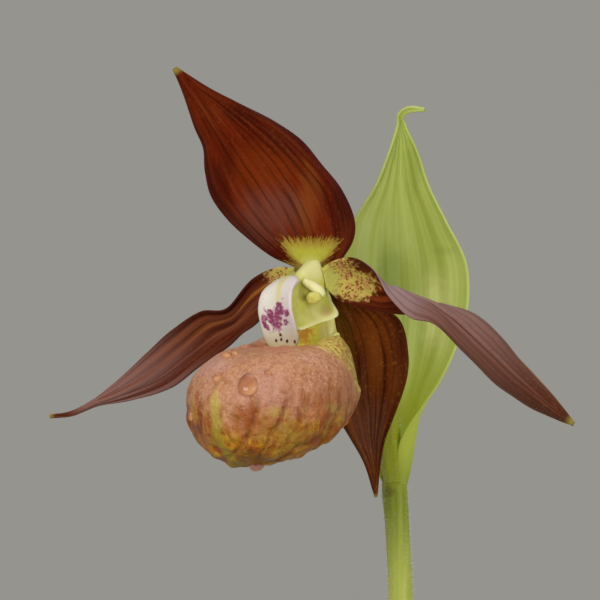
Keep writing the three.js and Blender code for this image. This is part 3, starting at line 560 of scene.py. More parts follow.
class Look:
    """A material under way, with short calls that add shader nodes to it."""

    def __init__(self, name, **settings):
        self.material = bpy.data.materials.new(name)
        self.material.use_nodes = True
        self.nodes = self.material.node_tree.nodes
        self.links = self.material.node_tree.links
        self.shader = self.nodes["Principled BSDF"]
        self.fray = None
        for label, value in settings.items():
            self.drive(label.replace("_", " "), value)

    def set(self, socket, value):
        if isinstance(value, Value):
            self.links.new(value.socket, socket)
        else:
            socket.default_value = value

    def drive(self, label, value):
        """Gives the shader's own input a value."""
        self.set(self.shader.inputs[label], value)

    def node(self, kind, output, inputs, **settings):
        """Adds a node, fills its inputs and gives one of its outputs."""
        node = self.nodes.new("ShaderNode" + kind)
        for label, setting in settings.items():
            setattr(node, label, setting)
        for label, value in inputs.items():
            self.set(node.inputs[label], value)
        return Value(self, node.outputs[output])

    def mark(self, label):
        return self.node("Attribute", "Fac", {}, attribute_name=label)

    def place(self):
        """Where a point is on the plant, in millimetres."""
        where = self.node("TexCoord", "Object", {})
        return self.node("VectorMath", 0, {0: where, "Scale": 1 / MM}, operation="SCALE")

    def math(self, operation, *values, clamp=False):
        return self.node("Math", 0, dict(enumerate(values)), operation=operation, use_clamp=clamp)

    def join(self, x, y, z):
        return self.node("CombineXYZ", 0, {0: x, 1: y, 2: z})

    def split(self, vector):
        first = self.node("SeparateXYZ", 0, {0: vector})
        return [Value(self, socket) for socket in first.socket.node.outputs]

    def fade(self, value, start, end):
        """Smooth step from 0 at start to 1 at end."""
        turned = float(start > end)
        ends = {"Value": value, "From Min": min(start, end), "From Max": max(start, end),
                "To Min": turned, "To Max": 1 - turned}
        return self.node("MapRange", "Result", ends, interpolation_type="SMOOTHSTEP")

    def noise(self, where, scale, detail=2.0, distortion=0.0):
        return self.node("TexNoise", "Fac", {"Vector": where, "Scale": scale, "Detail": detail,
                                             "Distortion": distortion})

    def cells(self, where, scale):
        return self.node("TexVoronoi", "Distance", {"Vector": where, "Scale": scale})

    def mix(self, share, first, second):
        return self.node("Mix", "Result", {"Factor": share, "A": first, "B": second},
                         data_type="RGBA")

    def patch(self, right, up, wide, high, ragged=0.5, grain=None):
        """Soft oval round a place right and up of the flower's place, with a frayed margin."""
        place = self.place()
        fray = self.fray
        if grain or not fray:
            fray = self.noise(place, grain or 0.5, 3.0)
        x, _, z = self.split(place)
        off = (x - float(FLOWER[0] + right)) / float(wide)
        rise = (z - float(FLOWER[2] + up)) / float(high)
        far = self.math("SQRT", off * off + rise * rise)
        return self.fade(far + (fray - 0.5) * (2 * ragged), 1.1, 0.3)

    def ovals(self, ovals, ragged):
        """The greatest share of several soft ovals."""
        share = 0.0
        for oval in ovals:
            share = self.math("MAXIMUM", share, self.patch(*oval, ragged, 0.9))
        return share

    def over(self, colour, share, shade, weight=1.0):
        """A shade laid over a colour where share is high."""
        return self.mix(self.math("MULTIPLY", share, weight, clamp=True), colour, srgb(*shade))

    def layers(self, colour, *layers):
        """Shades laid over a colour in turn, each as its share, shade and weight."""
        for layer in layers:
            colour = self.over(colour, *layer)
        return colour

    def patches(self, colour, patches):
        """Soft patches, each as shade, weight and the numbers of its oval."""
        for shade, weight, *oval in patches:
            colour = self.over(colour, self.patch(*oval), shade, weight)
        return colour

    def veins(self, count, wander, sharp):
        """Fine lines from base to tip, count of them over the width of a blade."""
        across, along = self.mark("across"), self.mark("along")
        bend = self.noise(self.join(across * 3.0, along * 4.0, 4.0), 1.0)
        place = (bend - 0.5) * wander + across
        return self.fade(self.math("COSINE", place * (count * math.pi)), sharp, 1.0)

    def streaks(self, count, stretch, seed, detail=2.0):
        """Noise drawn out along a blade, count patches wide from midrib to edge."""
        where = self.join(self.mark("across") * count, self.mark("along") * stretch, seed)
        return self.noise(where, 1.0, detail)

    def upright(self, scale, seed):
        """Noise drawn out up and down the plant; seed picks another stretch of it."""
        x, y, z = self.split(self.place())
        where = self.join(x * scale + seed, y * scale, z * (0.28 * scale))
        return self.noise(where, 1.0, 3.0, 0.6)

    def bump(self, height, distance, strength=1.0):
        """Fine relief of the surface; distance is its height in millimetres."""
        self.drive("Normal", self.node("Bump", "Normal", {
            "Height": height, "Distance": distance * MM, "Strength": strength}))

    def done(self, colour):
        self.drive("Base Color", colour)
        return self.material


def sepal_look(name, shades, patches, veins, foot):
    """Dark brown red blade with dark veins; shades are its deep and its light ground."""
    look = Look(name, Roughness=0.55, Specular_IOR_Level=0.12, Subsurface_Weight=0.03,
                Subsurface_Scale=0.001, Specular_Tint=srgb(255, 165, 120))
    deep, light = shades
    along, across = look.mark("along"), look.mark("across")
    broad = look.streaks(2.6, 2.2, 3)
    fine = look.streaks(11, 3.0, 11, 3.0)
    grain = look.noise(look.place(), 1.6, 3.0)
    look.fray = broad * 0.4 + fine * 0.6
    lines = look.veins(veins, 0.16, 0.2) * look.fade(broad, 0.66, 0.4)
    colour = look.mix(look.fade(broad, 0.32, 0.68), srgb(*deep), srgb(*light))
    colour = look.layers(look.patches(colour, patches),
                         (look.fade(grain, 0.54, 0.68), (158, 90, 30), 0.12),
                         (lines, [0.55 * shade for shade in deep], 0.6),
                         (look.fade(fine, 0.5, 0.66), (150, 76, 40), 0.2),
                         (look.fade(abs(across), 0.72, 0.98), (60, 18, 12), 0.6))
    colour = foot(look, colour)
    colour = look.over(colour, look.fade(along, 0.97, 0.996), (156, 140, 64), 0.85)
    look.bump((fine * 0.5 - lines * 0.6) * look.fade(along, 0.1, 0.3), 0.25, 0.6)
    return look.done(colour)


def dorsal_foot(look, colour):
    """Yellow-green fan at the foot of the dorsal sepal, frayed into rays."""
    x, _, z = look.split(look.place())
    right = x - float(FLOWER[0] + FAN_CENTRE[0])
    up = z - float(FLOWER[2] + FAN_CENTRE[1])
    turn = look.math("ARCTAN2", right, up)
    far = look.math("SQRT", right * right + up * up)
    rays = look.noise(look.join(turn * 15.0, 0.0, 2.0), 1.0, 2.0)
    thin = look.noise(look.join(turn * 42.0, far, 7.0), 1.0, 1.0)
    past = look.fade(abs(turn), 0.7, 1.18) * 5.0 + (up - FAN_SOLID)
    share = look.fade(rays * 0.6 + thin * 0.4 - past / FAN_RAYS, -0.04, 0.16)
    green = look.mix(look.fade(far, 1.5, 3.5), srgb(202, 200, 112), srgb(182, 180, 66))
    green = look.layers(green, (look.fade(thin, 0.6, 0.44), (150, 134, 50), 0.3),
                        (look.fade(past, 0.4, 3.0), (150, 110, 46), 0.7))
    return look.mix(share, colour, green)


def spotted_foot(look, colour, ovals, size):
    """Yellow-green foot made of ovals, with tan shades and small dark red spots."""
    place = look.place()
    tan = look.fade(look.noise(place, 0.7, 3.0), 0.44, 0.66)
    green = look.mix(tan, srgb(200, 182, 92), srgb(192, 146, 92))
    x, y, z = look.split(place)
    jitter = look.noise(place, 2.4, 2.0) * 1.1
    spots = look.fade(look.cells(look.join(x + jitter, y, z + jitter), size), 0.54, 0.35)
    spots = spots * look.fade(look.noise(place, 0.6), 0.34, 0.48)
    green = look.over(green, spots, (116, 46, 26), 0.85)
    for oval in PALE_FEET:
        green = look.over(green, look.patch(*oval, 0.3, 0.9), (182, 184, 92), 0.9)
    return look.mix(look.fade(look.ovals(ovals, 0.5), 0.2, 0.75), colour, green)


def left_tint(look, colour):
    """Painted mauve sheen toward the tip, a tan line near the midrib that is partly a painted
    highlight, and a spotted foot.
    """
    along, across = look.mark("along"), look.mark("across")
    sheen = look.fade(along, 0.4, 0.72) * look.fade(along, 0.93, 0.82)
    sheen = sheen * look.fade(look.streaks(4, 1.2, 14), 0.25, 0.6)
    rib_tan_and_highlight = look.fade(abs(across + 0.28), 0.2, 0.02) * look.fade(along, 0.58, 0.2)
    colour = look.layers(colour, (sheen, (148, 112, 106), 0.75), (rib_tan_and_highlight, (168, 104, 42), 0.75))
    return spotted_foot(look, colour, [(-4.0, 5.3, 4.6, 3.0)], 1.5)


def mauve_back(look, along, across):
    """Mauve grey back of the right petal with a dark keel, brown toward the tip."""
    grain = look.fade(look.noise(look.place(), 1.6, 3.0), 0.5, 0.66)
    mauve = look.mix(look.fade(along, 0.35, 0.62), srgb(146, 120, 119), srgb(126, 92, 84))
    mauve = look.mix(look.fade(along, 0.62, 0.92), mauve, srgb(74, 36, 20))
    return look.layers(
        mauve,
        (look.fade(across, 0.1, -0.4) * look.fade(along, 0.42, 0.6), (92, 54, 42), 0.6),
        (look.fade(look.streaks(14, 2.0, 8), 0.5, 0.66), (144, 108, 98), 0.35),
        (look.veins(7, 0.12, 0.3), (84, 44, 36), 0.35),
        (grain * look.fade(along, 0.3, 0.7), (120, 64, 36), 0.4),
        (look.fade(abs(across), 0.14, 0.03), (78, 34, 20), 0.8),
        (look.fade(across, 0.9, 1.0) * look.fade(along, 0.44, 0.38), (178, 140, 104), 0.6),
        (look.fade(across, 0.8, 0.95) * look.fade(along, 0.72, 0.85), (150, 108, 50), 0.7))


def right_tint(look, colour):
    """Spotted foot in front, and a mauve back past the foot."""
    along, across = look.mark("along"), look.mark("across")
    behind = look.fade(look.mark("front"), 0.6, 0.4) * look.fade(along, 0.2, 0.26)
    ovals = [(6.9, 5.0, 6.8, 6.2), (11.4, 2.9, 6.6, 4.2)]
    front = spotted_foot(look, colour, ovals, 1.6)
    return look.mix(behind, front, mauve_back(look, along, across))


def dark_foot(look, colour):
    """Golden flecks over the blade and painted shade on its brown foot behind the column."""
    flecks = look.fade(look.noise(look.place(), 1.4, 3.0), 0.55, 0.68)
    # Painted shade: the foot darkens toward its base behind the column
    dark = look.fade(look.mark("along"), 0.2, 0.05)
    return look.layers(colour, (flecks, (168, 104, 30), 0.3), (dark, (44, 22, 4), 0.75))


def pouch_top(look, place, grainy, fine):
    """Salmon with brown and pale grains."""
    top = look.mix(look.fade(look.noise(place, 0.11, 3.0), 0.35, 0.65), srgb(200, 144, 114),
                   srgb(192, 134, 92))
    return look.layers(top, (look.fade(grainy, 0.44, 0.62), (166, 100, 68), 0.65),
                       (look.fade(fine, 0.52, 0.66), (220, 172, 142), 0.5))


def pouch_low(look, patchy, grainy):
    """Orange brown with upright golden and dark lines."""
    low = look.mix(look.fade(patchy, 0.38, 0.64), srgb(157, 74, 8), srgb(187, 124, 14))
    gold = look.fade(look.upright(0.5, 1.0), 0.5, 0.62) * look.fade(grainy, 0.34, 0.56)
    dark = look.fade(look.upright(1.3, 4.0), 0.52, 0.64)
    return look.layers(low, (gold, (194, 156, 32), 0.7), (dark, (124, 56, 20), 0.5))


def toe_line(look, colour, level, toe, grainy):
    """Ragged yellow-green line down the toe of the pouch."""
    half = ((grainy - 0.5) * 2.4 + STRIPE_HALF) * look.fade(level, 0.64, 0.44)
    share = look.fade(abs(toe) - half, 0.7, -0.7) * look.fade(level, 0.62, 0.5)
    share = share * look.fade(look.mark("ahead"), 0.0, 0.6) * 0.92
    line = look.mix(look.fade(level, 0.52, 0.3), srgb(200, 174, 88), srgb(160, 132, 20))
    line = look.over(line, look.fade(level, 0.2, 0.1), (132, 104, 16), 0.8)
    return look.mix(share, colour, line)


def speckled_heel(look, colour, patchy, grainy, fine):
    """Yellow heel and claw with brown speckles."""
    yellow = look.layers(srgb(212, 192, 96), (look.fade(grainy, 0.46, 0.6), (180, 124, 66), 0.8),
                         (look.fade(fine, 0.53, 0.64), (150, 78, 44), 0.7))
    heel = look.mark("heel") + (grainy - 0.5) * 1.4 + (patchy - 0.5) * 1.6
    return look.mix(look.fade(heel, 0.2, 0.8), colour, yellow)


def pouch_look():
    """Salmon pouch, orange brown and golden below, with a yellow lining that light shines through and
    a painted glow on the claw.
    """
    look = Look("pouch", Roughness=0.42, Specular_IOR_Level=0.35, Subsurface_Scale=0.003,
                Subsurface_Radius=(1.0, 0.85, 0.35))
    place = look.place()
    level, toe, inner = (look.mark(mark) for mark in ("level", "toe", "inner"))
    patchy = look.noise(place, 0.3, 4.0, 0.5)
    grainy = look.noise(place, 0.95, 4.0)
    fine = look.noise(place, 2.1, 3.0)
    high = (patchy + look.upright(0.35, 8.0)) * 0.4 + level - 0.4
    # Painted shade: the colour darkens along the furrows
    dark = look.mark("furrow") * look.fade(grainy, 0.3, 0.6)
    colour = look.mix(look.fade(high, 0.3, 0.62), pouch_low(look, patchy, grainy),
                      pouch_top(look, place, grainy, fine))
    colour = look.over(look.patches(colour, POUCH_PATCHES), dark, (108, 46, 18), 0.7)
    colour = toe_line(look, colour, level, toe, grainy)
    colour = look.over(colour, look.fade(look.cells(place, 1.1), 0.32, 0.14), (146, 76, 48), 0.3)
    colour = speckled_heel(look, colour, patchy, grainy, fine)
    lining = look.layers(srgb(210, 202, 84),
                         (look.patch(0.9, -7.4, 2.2, 2.6, 0.8, 1.2), (186, 122, 48), 0.85),
                         (look.patch(6.2, -6.4, 2.2, 4.5, 0.3), (206, 196, 134), 0.8))
    look.drive("Subsurface Weight", inner * 0.85 + 0.1)
    # Painted glow: the claw's lining gives off its own colour as light, most near the toe's middle
    near = look.fade(toe, 5.5, 3.0) * look.fade(toe, -6.5, -4.5)
    claw = look.fade(inner, 0.5, 1.0) * look.fade(level, 0.5, 0.7)
    look.drive("Emission Color", lining)
    look.drive("Emission Strength", claw * (near * 0.32 + 0.06))
    relief = (grainy * 0.6 + look.noise(place, 0.55, 3.0)) * look.fade(high, 1.1, 0.4)
    look.bump(relief + fine * 0.2 - dark * 0.4, 0.7, 0.9)
    return look.done(look.mix(inner, colour, lining))


def staminode_look():
    """White shield with a yellow groove, purple blotches and a cream end with dark specks."""
    look = Look("staminode", Roughness=0.4, Subsurface_Weight=0.15, Subsurface_Scale=0.001)
    across, along, place = look.mark("across"), look.mark("along"), look.place()
    colour = look.mix(look.fade(across, -0.2, 0.9), srgb(222, 216, 202), srgb(218, 206, 204))
    colour = look.mix(look.fade(along, 0.6, 0.92), colour, srgb(206, 182, 136))
    groove = look.fade(abs(across - 0.12), 0.3, 0.05) * look.fade(along, 0.62, 0.35)
    blotched = look.ovals(BLOTCHES, 0.9) * 0.5
    halo = look.fade(blotched + look.noise(place, 1.1, 2.0), 0.6, 0.94)
    core = look.fade(blotched + look.noise(place, 1.7, 1.0), 0.76, 1.02)
    colour = look.layers(colour, (groove, (214, 206, 124), 0.8), (halo, (184, 112, 148), 0.9),
                         (core, (134, 44, 88), 0.95))
    for right, up in SPECKS:
        speck = look.patch(right, up, *SPECK_SIZE, 0.6, 2.4)
        colour = look.over(colour, speck, (92, 34, 36), 1.4)
    return look.done(colour)


def column_look(name, pale, deep):
    """Pale green flesh that lets light through, cream on top and along its thin edges."""
    look = Look(name, Roughness=0.45, Specular_IOR_Level=0.35, Subsurface_Weight=0.5,
                Subsurface_Scale=0.0015, Subsurface_Radius=(1.0, 0.9, 0.35))
    soft = look.fade(look.noise(look.place(), 0.35), 0.35, 0.65)
    # The patches paint shade into the column's fold, the hollow by the anther and the pocket
    colour = look.patches(look.mix(soft, srgb(*deep), srgb(*pale)), COLUMN_PATCHES_AND_SHADE)
    return look.done(look.over(colour, look.fade(look.mark("rim"), 0.4, 1.0), (226, 222, 160), 0.8))


def leaf_look(name, light, dark, contrast):
    """Green pleated blade with parallel veins, under way: the look and its colour."""
    look = Look(name, Roughness=0.48, Specular_IOR_Level=0.35, Subsurface_Weight=0.1,
                Subsurface_Scale=0.001)
    fine = look.streaks(24, 1.6, 3)
    line = look.veins(LEAF_VEINS, 0.0, 0.8)
    rim = look.fade(abs(look.mark("across")), 0.96, 1.0)
    broad = look.fade(look.streaks(3.2, 1.4, 9), 0.32, 0.68)
    colour = look.layers(look.mix(broad, srgb(*dark), srgb(*light)),
                         (look.fade(fine, 0.5, 0.66), dark, contrast),
                         (line, light, 0.9 * contrast), (rim, (200, 204, 130), 0.2))
    look.bump(fine + line * 0.6, 0.15, contrast)
    return look, colour


def bract_look():
    """Thin bract that lets light through, with a painted glow strongest where it folds round the
    stalk.
    """
    look, colour = leaf_look("bract", (175, 187, 94), (160, 172, 72), 0.18)
    height = look.split(look.place())[2]
    broad = look.fade(look.streaks(7, 0.9, 23, 1.0), 0.54, 0.72)
    colour = look.over(colour, broad, (136, 152, 52), 0.32)
    # The patches, painted shade and painted light among them, go on the bract's front only
    colour = look.mix(look.mark("front"), colour, look.patches(colour, BRACT_PATCHES_AND_PAINTED_LIGHT))
    colour = look.over(colour, look.fade(height, NODE_Z + 36, NODE_Z + 14), (150, 160, 38), 0.75)
    # Painted glow: the bract gives off its own colour as light, more of it low down
    painted_glow = look.fade(height, NODE_Z + 42, NODE_Z + 18) * 0.3 + 0.06
    look.drive("Emission Color", colour)
    look.drive("Emission Strength", painted_glow * look.fade(height, NODE_Z - 2, NODE_Z + 10))
    return look.done(colour)


def stem_look():
    """Yellow-green stalk, olive at the node and paler down the stem."""
    look = Look("stem", Roughness=0.5, Specular_IOR_Level=0.3, Subsurface_Weight=0.2,
                Subsurface_Scale=0.0015, Sheen_Weight=0.06)
    x, y, height = look.split(look.place())
    streak = look.noise(look.join(x * 1.3, y * 1.3, height * 0.05), 1.0, 3.0)
    share = look.fade(streak, 0.35, 0.65)
    pale = look.mix(share, srgb(172, 182, 72), srgb(190, 196, 90))
    olive = look.mix(share, srgb(138, 152, 36), srgb(158, 170, 54))
    colour = look.layers(look.mix(look.fade(height, NODE_Z - 3, NODE_Z - 20), olive, pale),
                         (look.fade(height, NODE_Z - 2, NODE_Z + 3), (168, 174, 30), 0.9),
                         (look.fade(height, 150, 100), (160, 134, 84), 0.6))
    look.bump(streak, 0.15, 0.5)
    return look.done(look.patches(colour, STALK_PATCHES))


def water_look():
    """Clear drop with light painted on its far side and shade painted on its near edge."""
    look = Look("water", Roughness=0.04, Specular_IOR_Level=0.6, Alpha=0.55)
    lit = look.mark("lit")
    colour = look.mix(look.fade(lit, -0.9, -0.1), srgb(120, 48, 30), srgb(196, 122, 82))
    colour = look.mix(look.fade(lit, 0.1, 0.9), colour, srgb(250, 186, 122))
    return look.done(look.over(colour, look.noise(look.place(), 0.8), (226, 160, 112), 0.3))


def hair_look():
    look = Look("hair", Roughness=0.5, Subsurface_Weight=0.3, Subsurface_Scale=0.0005)
    soft = look.noise(look.place(), 0.4)
    return look.done(look.mix(soft, srgb(238, 240, 214), srgb(214, 218, 170)))


def clay_look():
    """Unglazed fired clay with fine grain, faint turning lines and pale bloom."""
    look = Look("clay", Roughness=0.88)
    place = look.place()
    x, y, z = look.split(place)
    cloud = look.fade(look.noise(place, 0.03, 5.0), 0.35, 0.65)
    grain = look.noise(place, 1.8, 4.0)
    lines = look.noise(look.join(x * 0.01, y * 0.01, z * 0.9), 1.0, 3.0)
    bloom = look.fade(look.noise(place, 0.06, 6.0), 0.52, 0.68) * look.fade(z, 60, 108)
    colour = look.layers(look.mix(cloud, srgb(176, 98, 68), srgb(194, 118, 84)),
                         (look.fade(grain, 0.5, 0.7), (150, 78, 54), 0.35),
                         (bloom, (216, 190, 168), 0.4))
    look.bump(grain * 0.5 + lines, 0.35, 0.6)
    return look.done(colour)


def mix_look():
    """Bark chips and grit, each grain with its own shade."""
    look = Look("potting_mix", Roughness=0.9)
    grain = look.mark("grain")
    rough = look.noise(look.place(), 1.2, 4.0)
    bark = look.mix(look.fade(rough, 0.35, 0.7), srgb(48, 32, 22), srgb(104, 70, 46))
    bark = look.mix(look.fade(grain, 0.1, 0.8), bark, srgb(128, 88, 58))
    grit = look.mix(rough, srgb(206, 200, 188), srgb(168, 160, 146))
    look.bump(rough, 0.6, 0.7)
    return look.done(look.mix(look.fade(grain, 0.9, 0.91), bark, grit))


# Pieces of the plant

def add_blade(name, made, material, slot):
    """Stores a blade, which replaces the CAD node of its name."""
    add_piece(name, *made, material, slot, name)


def dorsal_sepal():
    def relief(t, v, place):
        ribs = 0.12 * np.cos(5 * math.pi * v) + 0.05 * np.cos(17 * math.pi * v + 1)
        return ribs * smooth(0.15, 0.4, t) + 0.12 * swells(place, 9, 21) * smooth(0.1, 0.4, t)
    made = blade(rail_surface(DORSAL_SEPAL), PETAL_THICKNESS, 170, 96, relief)
    look = sepal_look("dorsal_sepal", ((80, 16, 3), (102, 28, 6)), DORSAL_PATCHES_AND_SHEEN, 13, dorsal_foot)
    add_blade("dorsal_sepal", made, look, "maroon")


def lower_sepal():
    def relief(t, v, place):
        return 0.12 * np.cos(6 * math.pi * v) * smooth(0.02, 0.2, t) * smooth(1, 0.8, t)
    made = blade(rail_surface(LOWER_SEPAL), PETAL_THICKNESS, 150, 76, relief, front=-1)
    look = sepal_look("lower_sepal", ((90, 37, 12), (125, 66, 25)), LOWER_PATCHES, 11, dark_foot)
    add_blade("lower_sepal", made, look, "maroon")


def petals():
    def relief(t, v, place):
        ribs = 0.1 * np.cos(4 * math.pi * v) + 0.3 * smooth(0.25, 0, np.abs(v))
        return ribs * smooth(0.14, 0.34, t) * smooth(1, 0.8, t) + 0.1 * swells(place, 8, 5)
    left = blade(rail_surface(LEFT_PETAL), PETAL_THICKNESS, 200, 60, relief, front=-1)
    look = sepal_look("petal_left", ((88, 33, 20), (120, 66, 44)), LEFT_PATCHES, 5, left_tint)
    add_blade("petal_left", left, look, "maroon")
    right = blade(rail_surface(RIGHT_PETAL), PETAL_THICKNESS, 210, 60, relief)
    look = sepal_look("petal_right", ((86, 28, 12), (120, 48, 20)), [], 7, right_tint)
    add_blade("petal_right", right, look, "maroon")


def staminode():
    made = blade(rail_surface(STAMINODE), 1.0, 90, 40, lambda t, v, place: 0 * t)
    add_blade("staminode", made, staminode_look(), "white")


def column():
    """Tent-shaped column with a shallow pocket low on each flank."""
    rings, count = [], 90
    flank = evenly(FLANK, 44)
    middle = np.linspace(1, -1, 9)[1:-1]
    for forward, ridge, spread, edge in curve(COLUMN, np.linspace(0, 1, count)):
        down = lerp(ridge, edge, flank[:, 1])
        off = ((forward - POCKET[0]) / POCKET[2]) ** 2 + ((down - POCKET[1]) / POCKET[2]) ** 2
        out = flank[:, 0] * spread - POCKET_DEPTH * np.exp(-off)
        right = on_flower(forward, out, down)
        left = on_flower(forward, -out, down)[::-1][:-1]
        below = on_flower(forward, middle * spread, edge - STIGMA_BULGE * (1 - middle ** 2))
        rings.append(np.concatenate([right, below, left]))
    points, faces = closed_tube(np.array(rings))
    near_edge = smooth(0.84, 1, flank[:, 1])
    rim = np.concatenate([near_edge, 1 - 0.8 * (1 - middle ** 2), near_edge[::-1][:-1]])
    rim = np.append(np.tile(rim, count), [0, 0])
    look = column_look("column", (218, 214, 114), (204, 202, 88))
    add_piece("column", points, faces, {"rim": rim}, look, "cream", "column")


def filaments():
    """Short stout stalk of the anther on each side of the column."""
    look = column_look("filament", (236, 230, 176), (226, 220, 160))

    def reach(t, angle):
        thickness = lerp(FILAMENT["thin"], FILAMENT["thick"], t ** 0.6)
        return thickness * np.sqrt(smooth(1.12, 0.7, t))
    for hand, label in HANDS:
        start, end = (on_flower(forward, hand * side, up)
                      for forward, side, up in (FILAMENT["start"], FILAMENT["end"]))
        middle = (start + end) / 2 + 0.4 * UP
        rings, _ = bar([start, middle, end], 24, 20, reach)
        points, faces = closed_tube(rings)
        add_piece(f"filament_{label}", points, faces, {}, look, "cream")


def anthers():
    """Round, slightly lumpy anther at each side of the column."""
    look = column_look("anther", (214, 204, 116), (202, 190, 88))
    forward, side, up = ANTHER_PLACE
    for hand, label in HANDS:
        centre = on_flower(forward, hand * side, up)
        body = ball(20, 28, 0.08) * ANTHER_SHAPE * ANTHER_RADIUS
        body += 0.07 * body * swells(body, 1.2, 4)[..., None]
        points, faces = closed_tube(body + centre)
        add_piece(f"anther_{label}", points, faces, {}, look, "cream", f"anther_{label}")


def pouch_point(turn, level):
    """Point on the pouch: turn runs round from the toe, level from the lowest point up."""
    ahead = np.cos(turn)
    heel = smooth(0.2, 0.9, -ahead)
    rim = MOUTH_SHARE + HEEL_SHARE * heel
    shoulder = MOUTH_UP + SHOULDER_RISE * smooth(0, 0.55, -ahead)
    rim_up = shoulder + HEEL_RISE * smooth(0.84, 1, -ahead)
    across = np.sin(turn) * (1 - HEEL_NARROWING * smooth(0.68, 1, -ahead))
    angle = np.minimum(level, RIM_LEVEL) / RIM_LEVEL * math.pi
    sine = np.maximum(np.sin(angle), 0)
    hollow = 1 + HEEL_HOLLOW * smooth(0.6, 1, -ahead)
    upper = angle > math.pi / 2
    share = np.where(upper, rim + (1 - rim) * sine ** hollow, sine)
    end = np.where(upper, -rim_up + 2 * POUCH_WAIST, POUCH_LOWEST)
    height = POUCH_WAIST + (end - POUCH_WAIST) * np.cos(angle)
    shift = np.where(upper, MOUTH_SHIFT, LOWEST_SHIFT) * (1 - sine)
    rolled = smooth(RIM_LEVEL, 1, level) * (1 - heel)
    share = share - RIM_ROLLED_IN * rolled
    height = height - RIM_ROLLED_DOWN * rolled - POUCH_TILT * ahead * share
    forward = POUCH_MIDDLE + shift + POUCH_HALF_LENGTH * share * ahead
    return on_flower(forward, POUCH_HALF_WIDTH * share * across, height)


def pouch_normal(turn, level, step):
    """Direction straight out of the pouch, from points a small step away."""
    rise = pouch_point(turn, np.minimum(level + step, 1)) - pouch_point(turn, level - step)
    around = pouch_point(turn + step, level) - pouch_point(turn - step, level)
    return unit(np.cross(around, rise))


def pouch_relief(skin, level, ahead, above, furrow):
    """Rise of the pouch's skin: swells all over, furrows below, crinkles where the claw starts."""
    relief = 0.2 * swells(skin, 5, 3) + 0.12 * swells(skin, 2.2, 13)
    relief = smooth(0.62, 0.4, level) * relief - 0.3 * furrow
    relief += 0.1 * swells(skin, 9, 6) + 0.05 * swells(skin, 3, 16)
    crinkle = 0.3 + 0.2 * swells(skin, 4, 19)
    relief += crinkle * np.exp(-(above / 0.03) ** 2) * smooth(-0.2, 0, -ahead)
    return relief * smooth(0.98, 0.9, level)


def lip():
    """Hollow pouch with furrows that run from the mouth round to the underside."""
    level, turn = np.meshgrid(np.linspace(0.01, 1, 110), full_turn(200), indexing="ij")
    normal = pouch_normal(turn, level, 0.004)
    skin = pouch_point(turn, level)
    ahead = np.cos(turn)
    above = level - 0.86 + 0.62 * np.minimum(-ahead, 0.65)
    furrow = smooth(0.62, 0.4, level) * smooth(0.35, 0, np.abs(swells(skin * [1, 1, 0.12], 9, 8)))
    relief = pouch_relief(skin, level, ahead, above, furrow)
    raised = smooth(0.9, 1, level) * smooth(-0.1, 0.2, ahead)
    skin = skin + (raised * (RIM_RAISE + 0.25 * swells(skin, 3, 17)))[..., None] * UP
    outer = skin + relief[..., None] * normal
    shell = POUCH_SHELL * lerp(1, 0.5, smooth(0.84, 1, level))
    inner = skin - shell[..., None] * normal
    lip_edge = (outer[-1] + inner[-1]) / 2 + 0.35 * unit(outer[-1] - outer[-3])
    rings = np.concatenate([outer, lip_edge[None], inner[::-1]])
    points, faces = closed_tube(rings)
    heel = smooth(-0.14, 0.1, above) * smooth(-0.3, 0, -ahead) * smooth(-1, 0.4, np.sin(turn))
    toe = (skin - placed(HEART)) @ SIDEWAYS
    marks = {"level": level, "ahead": ahead, "toe": toe, "heel": heel, "furrow": furrow}
    both = {label: np.concatenate([m, m[-1:], m[::-1]]) for label, m in marks.items()}
    both["inner"] = np.concatenate([0 * level, 0 * level[-1:] + 0.3, 0 * level + 1])
    both = {label: np.append(m, [0, 0]) for label, m in both.items()}
    add_piece("lip", points, faces, both, pouch_look(), "pouch", "lip")


def drops():
    """Water drops that sit flat on the pouch and sag a little."""
    look = water_look()
    across, out, along = np.moveaxis(ball(24, 36, 0.06), -1, 0)[..., None]
    for i, (turn, level, wide, high, bulge) in enumerate(DROPS):
        normal = pouch_normal(turn, level, 0.01)
        up = unit(UP - normal * (UP @ normal))
        side = np.cross(up, normal)
        body = (across * wide * (1 - 0.15 * along) * side + along * high * up
                + out * bulge * (1 - 0.3 * along) * normal)
        points, faces = closed_tube(pouch_point(turn, level) + body)
        # The lit mark places each drop's painted light on its lower side and painted shade toward its
        # top
        lit = np.append((-0.7 * along + 0.6 * across * np.sign(side[0])).ravel(), [-0.7, 0.7])
        add_piece(f"drop_{i + 1}", points, faces, {"lit": lit}, look, "water")


def bract():
    """Pleated bract whose base clasps the stalk on its right side."""
    open_blade = rail_surface(BRACT)
    stalk = np.array([(-1, 0, NODE_Z - 10), *placed(OVARY_PATH)])

    def surface(t, v):
        point = open_blade(t, v)
        share = smooth(0.27, 0.1, t) * smooth(0, 1, v)
        axis = np.stack([np.interp(point[..., 2], stalk[:, 2], stalk[:, k]) for k in (0, 1)], -1)
        off = point[..., :2] - axis
        turn = np.arctan2(off[..., 1], off[..., 0]) - BRACT_CLASP_TURN * share
        clasp = lerp(BRACT_CLASP_NEAR, BRACT_CLASP_FAR, smooth(0.02, 0.2, t)) - 0.7 * v ** 4
        radius = lerp(np.linalg.norm(off, axis=-1), clasp, share)
        point[..., 0] = axis[..., 0] + radius * np.cos(turn)
        point[..., 1] = axis[..., 1] + radius * np.sin(turn)
        return point

    def relief(t, v, place):
        depth = BRACT_FOLD_DEPTH * smooth(0.1, 0.35, t) * smooth(0.86, 0.6, t)
        return depth * (0.15 * np.cos(23 * math.pi * v) - zigzag(v * BRACT_FOLDS))
    made = blade(surface, LEAF_THICKNESS, 230, 96, relief, thin_edge=0.3)
    add_blade("bract", made, bract_look(), "bract")


def stem_radius(z):
    return lerp(STEM_FOOT_RADIUS, STEM_TOP_RADIUS, (z - STEM_FOOT_Z) / (NODE_Z - STEM_FOOT_Z))


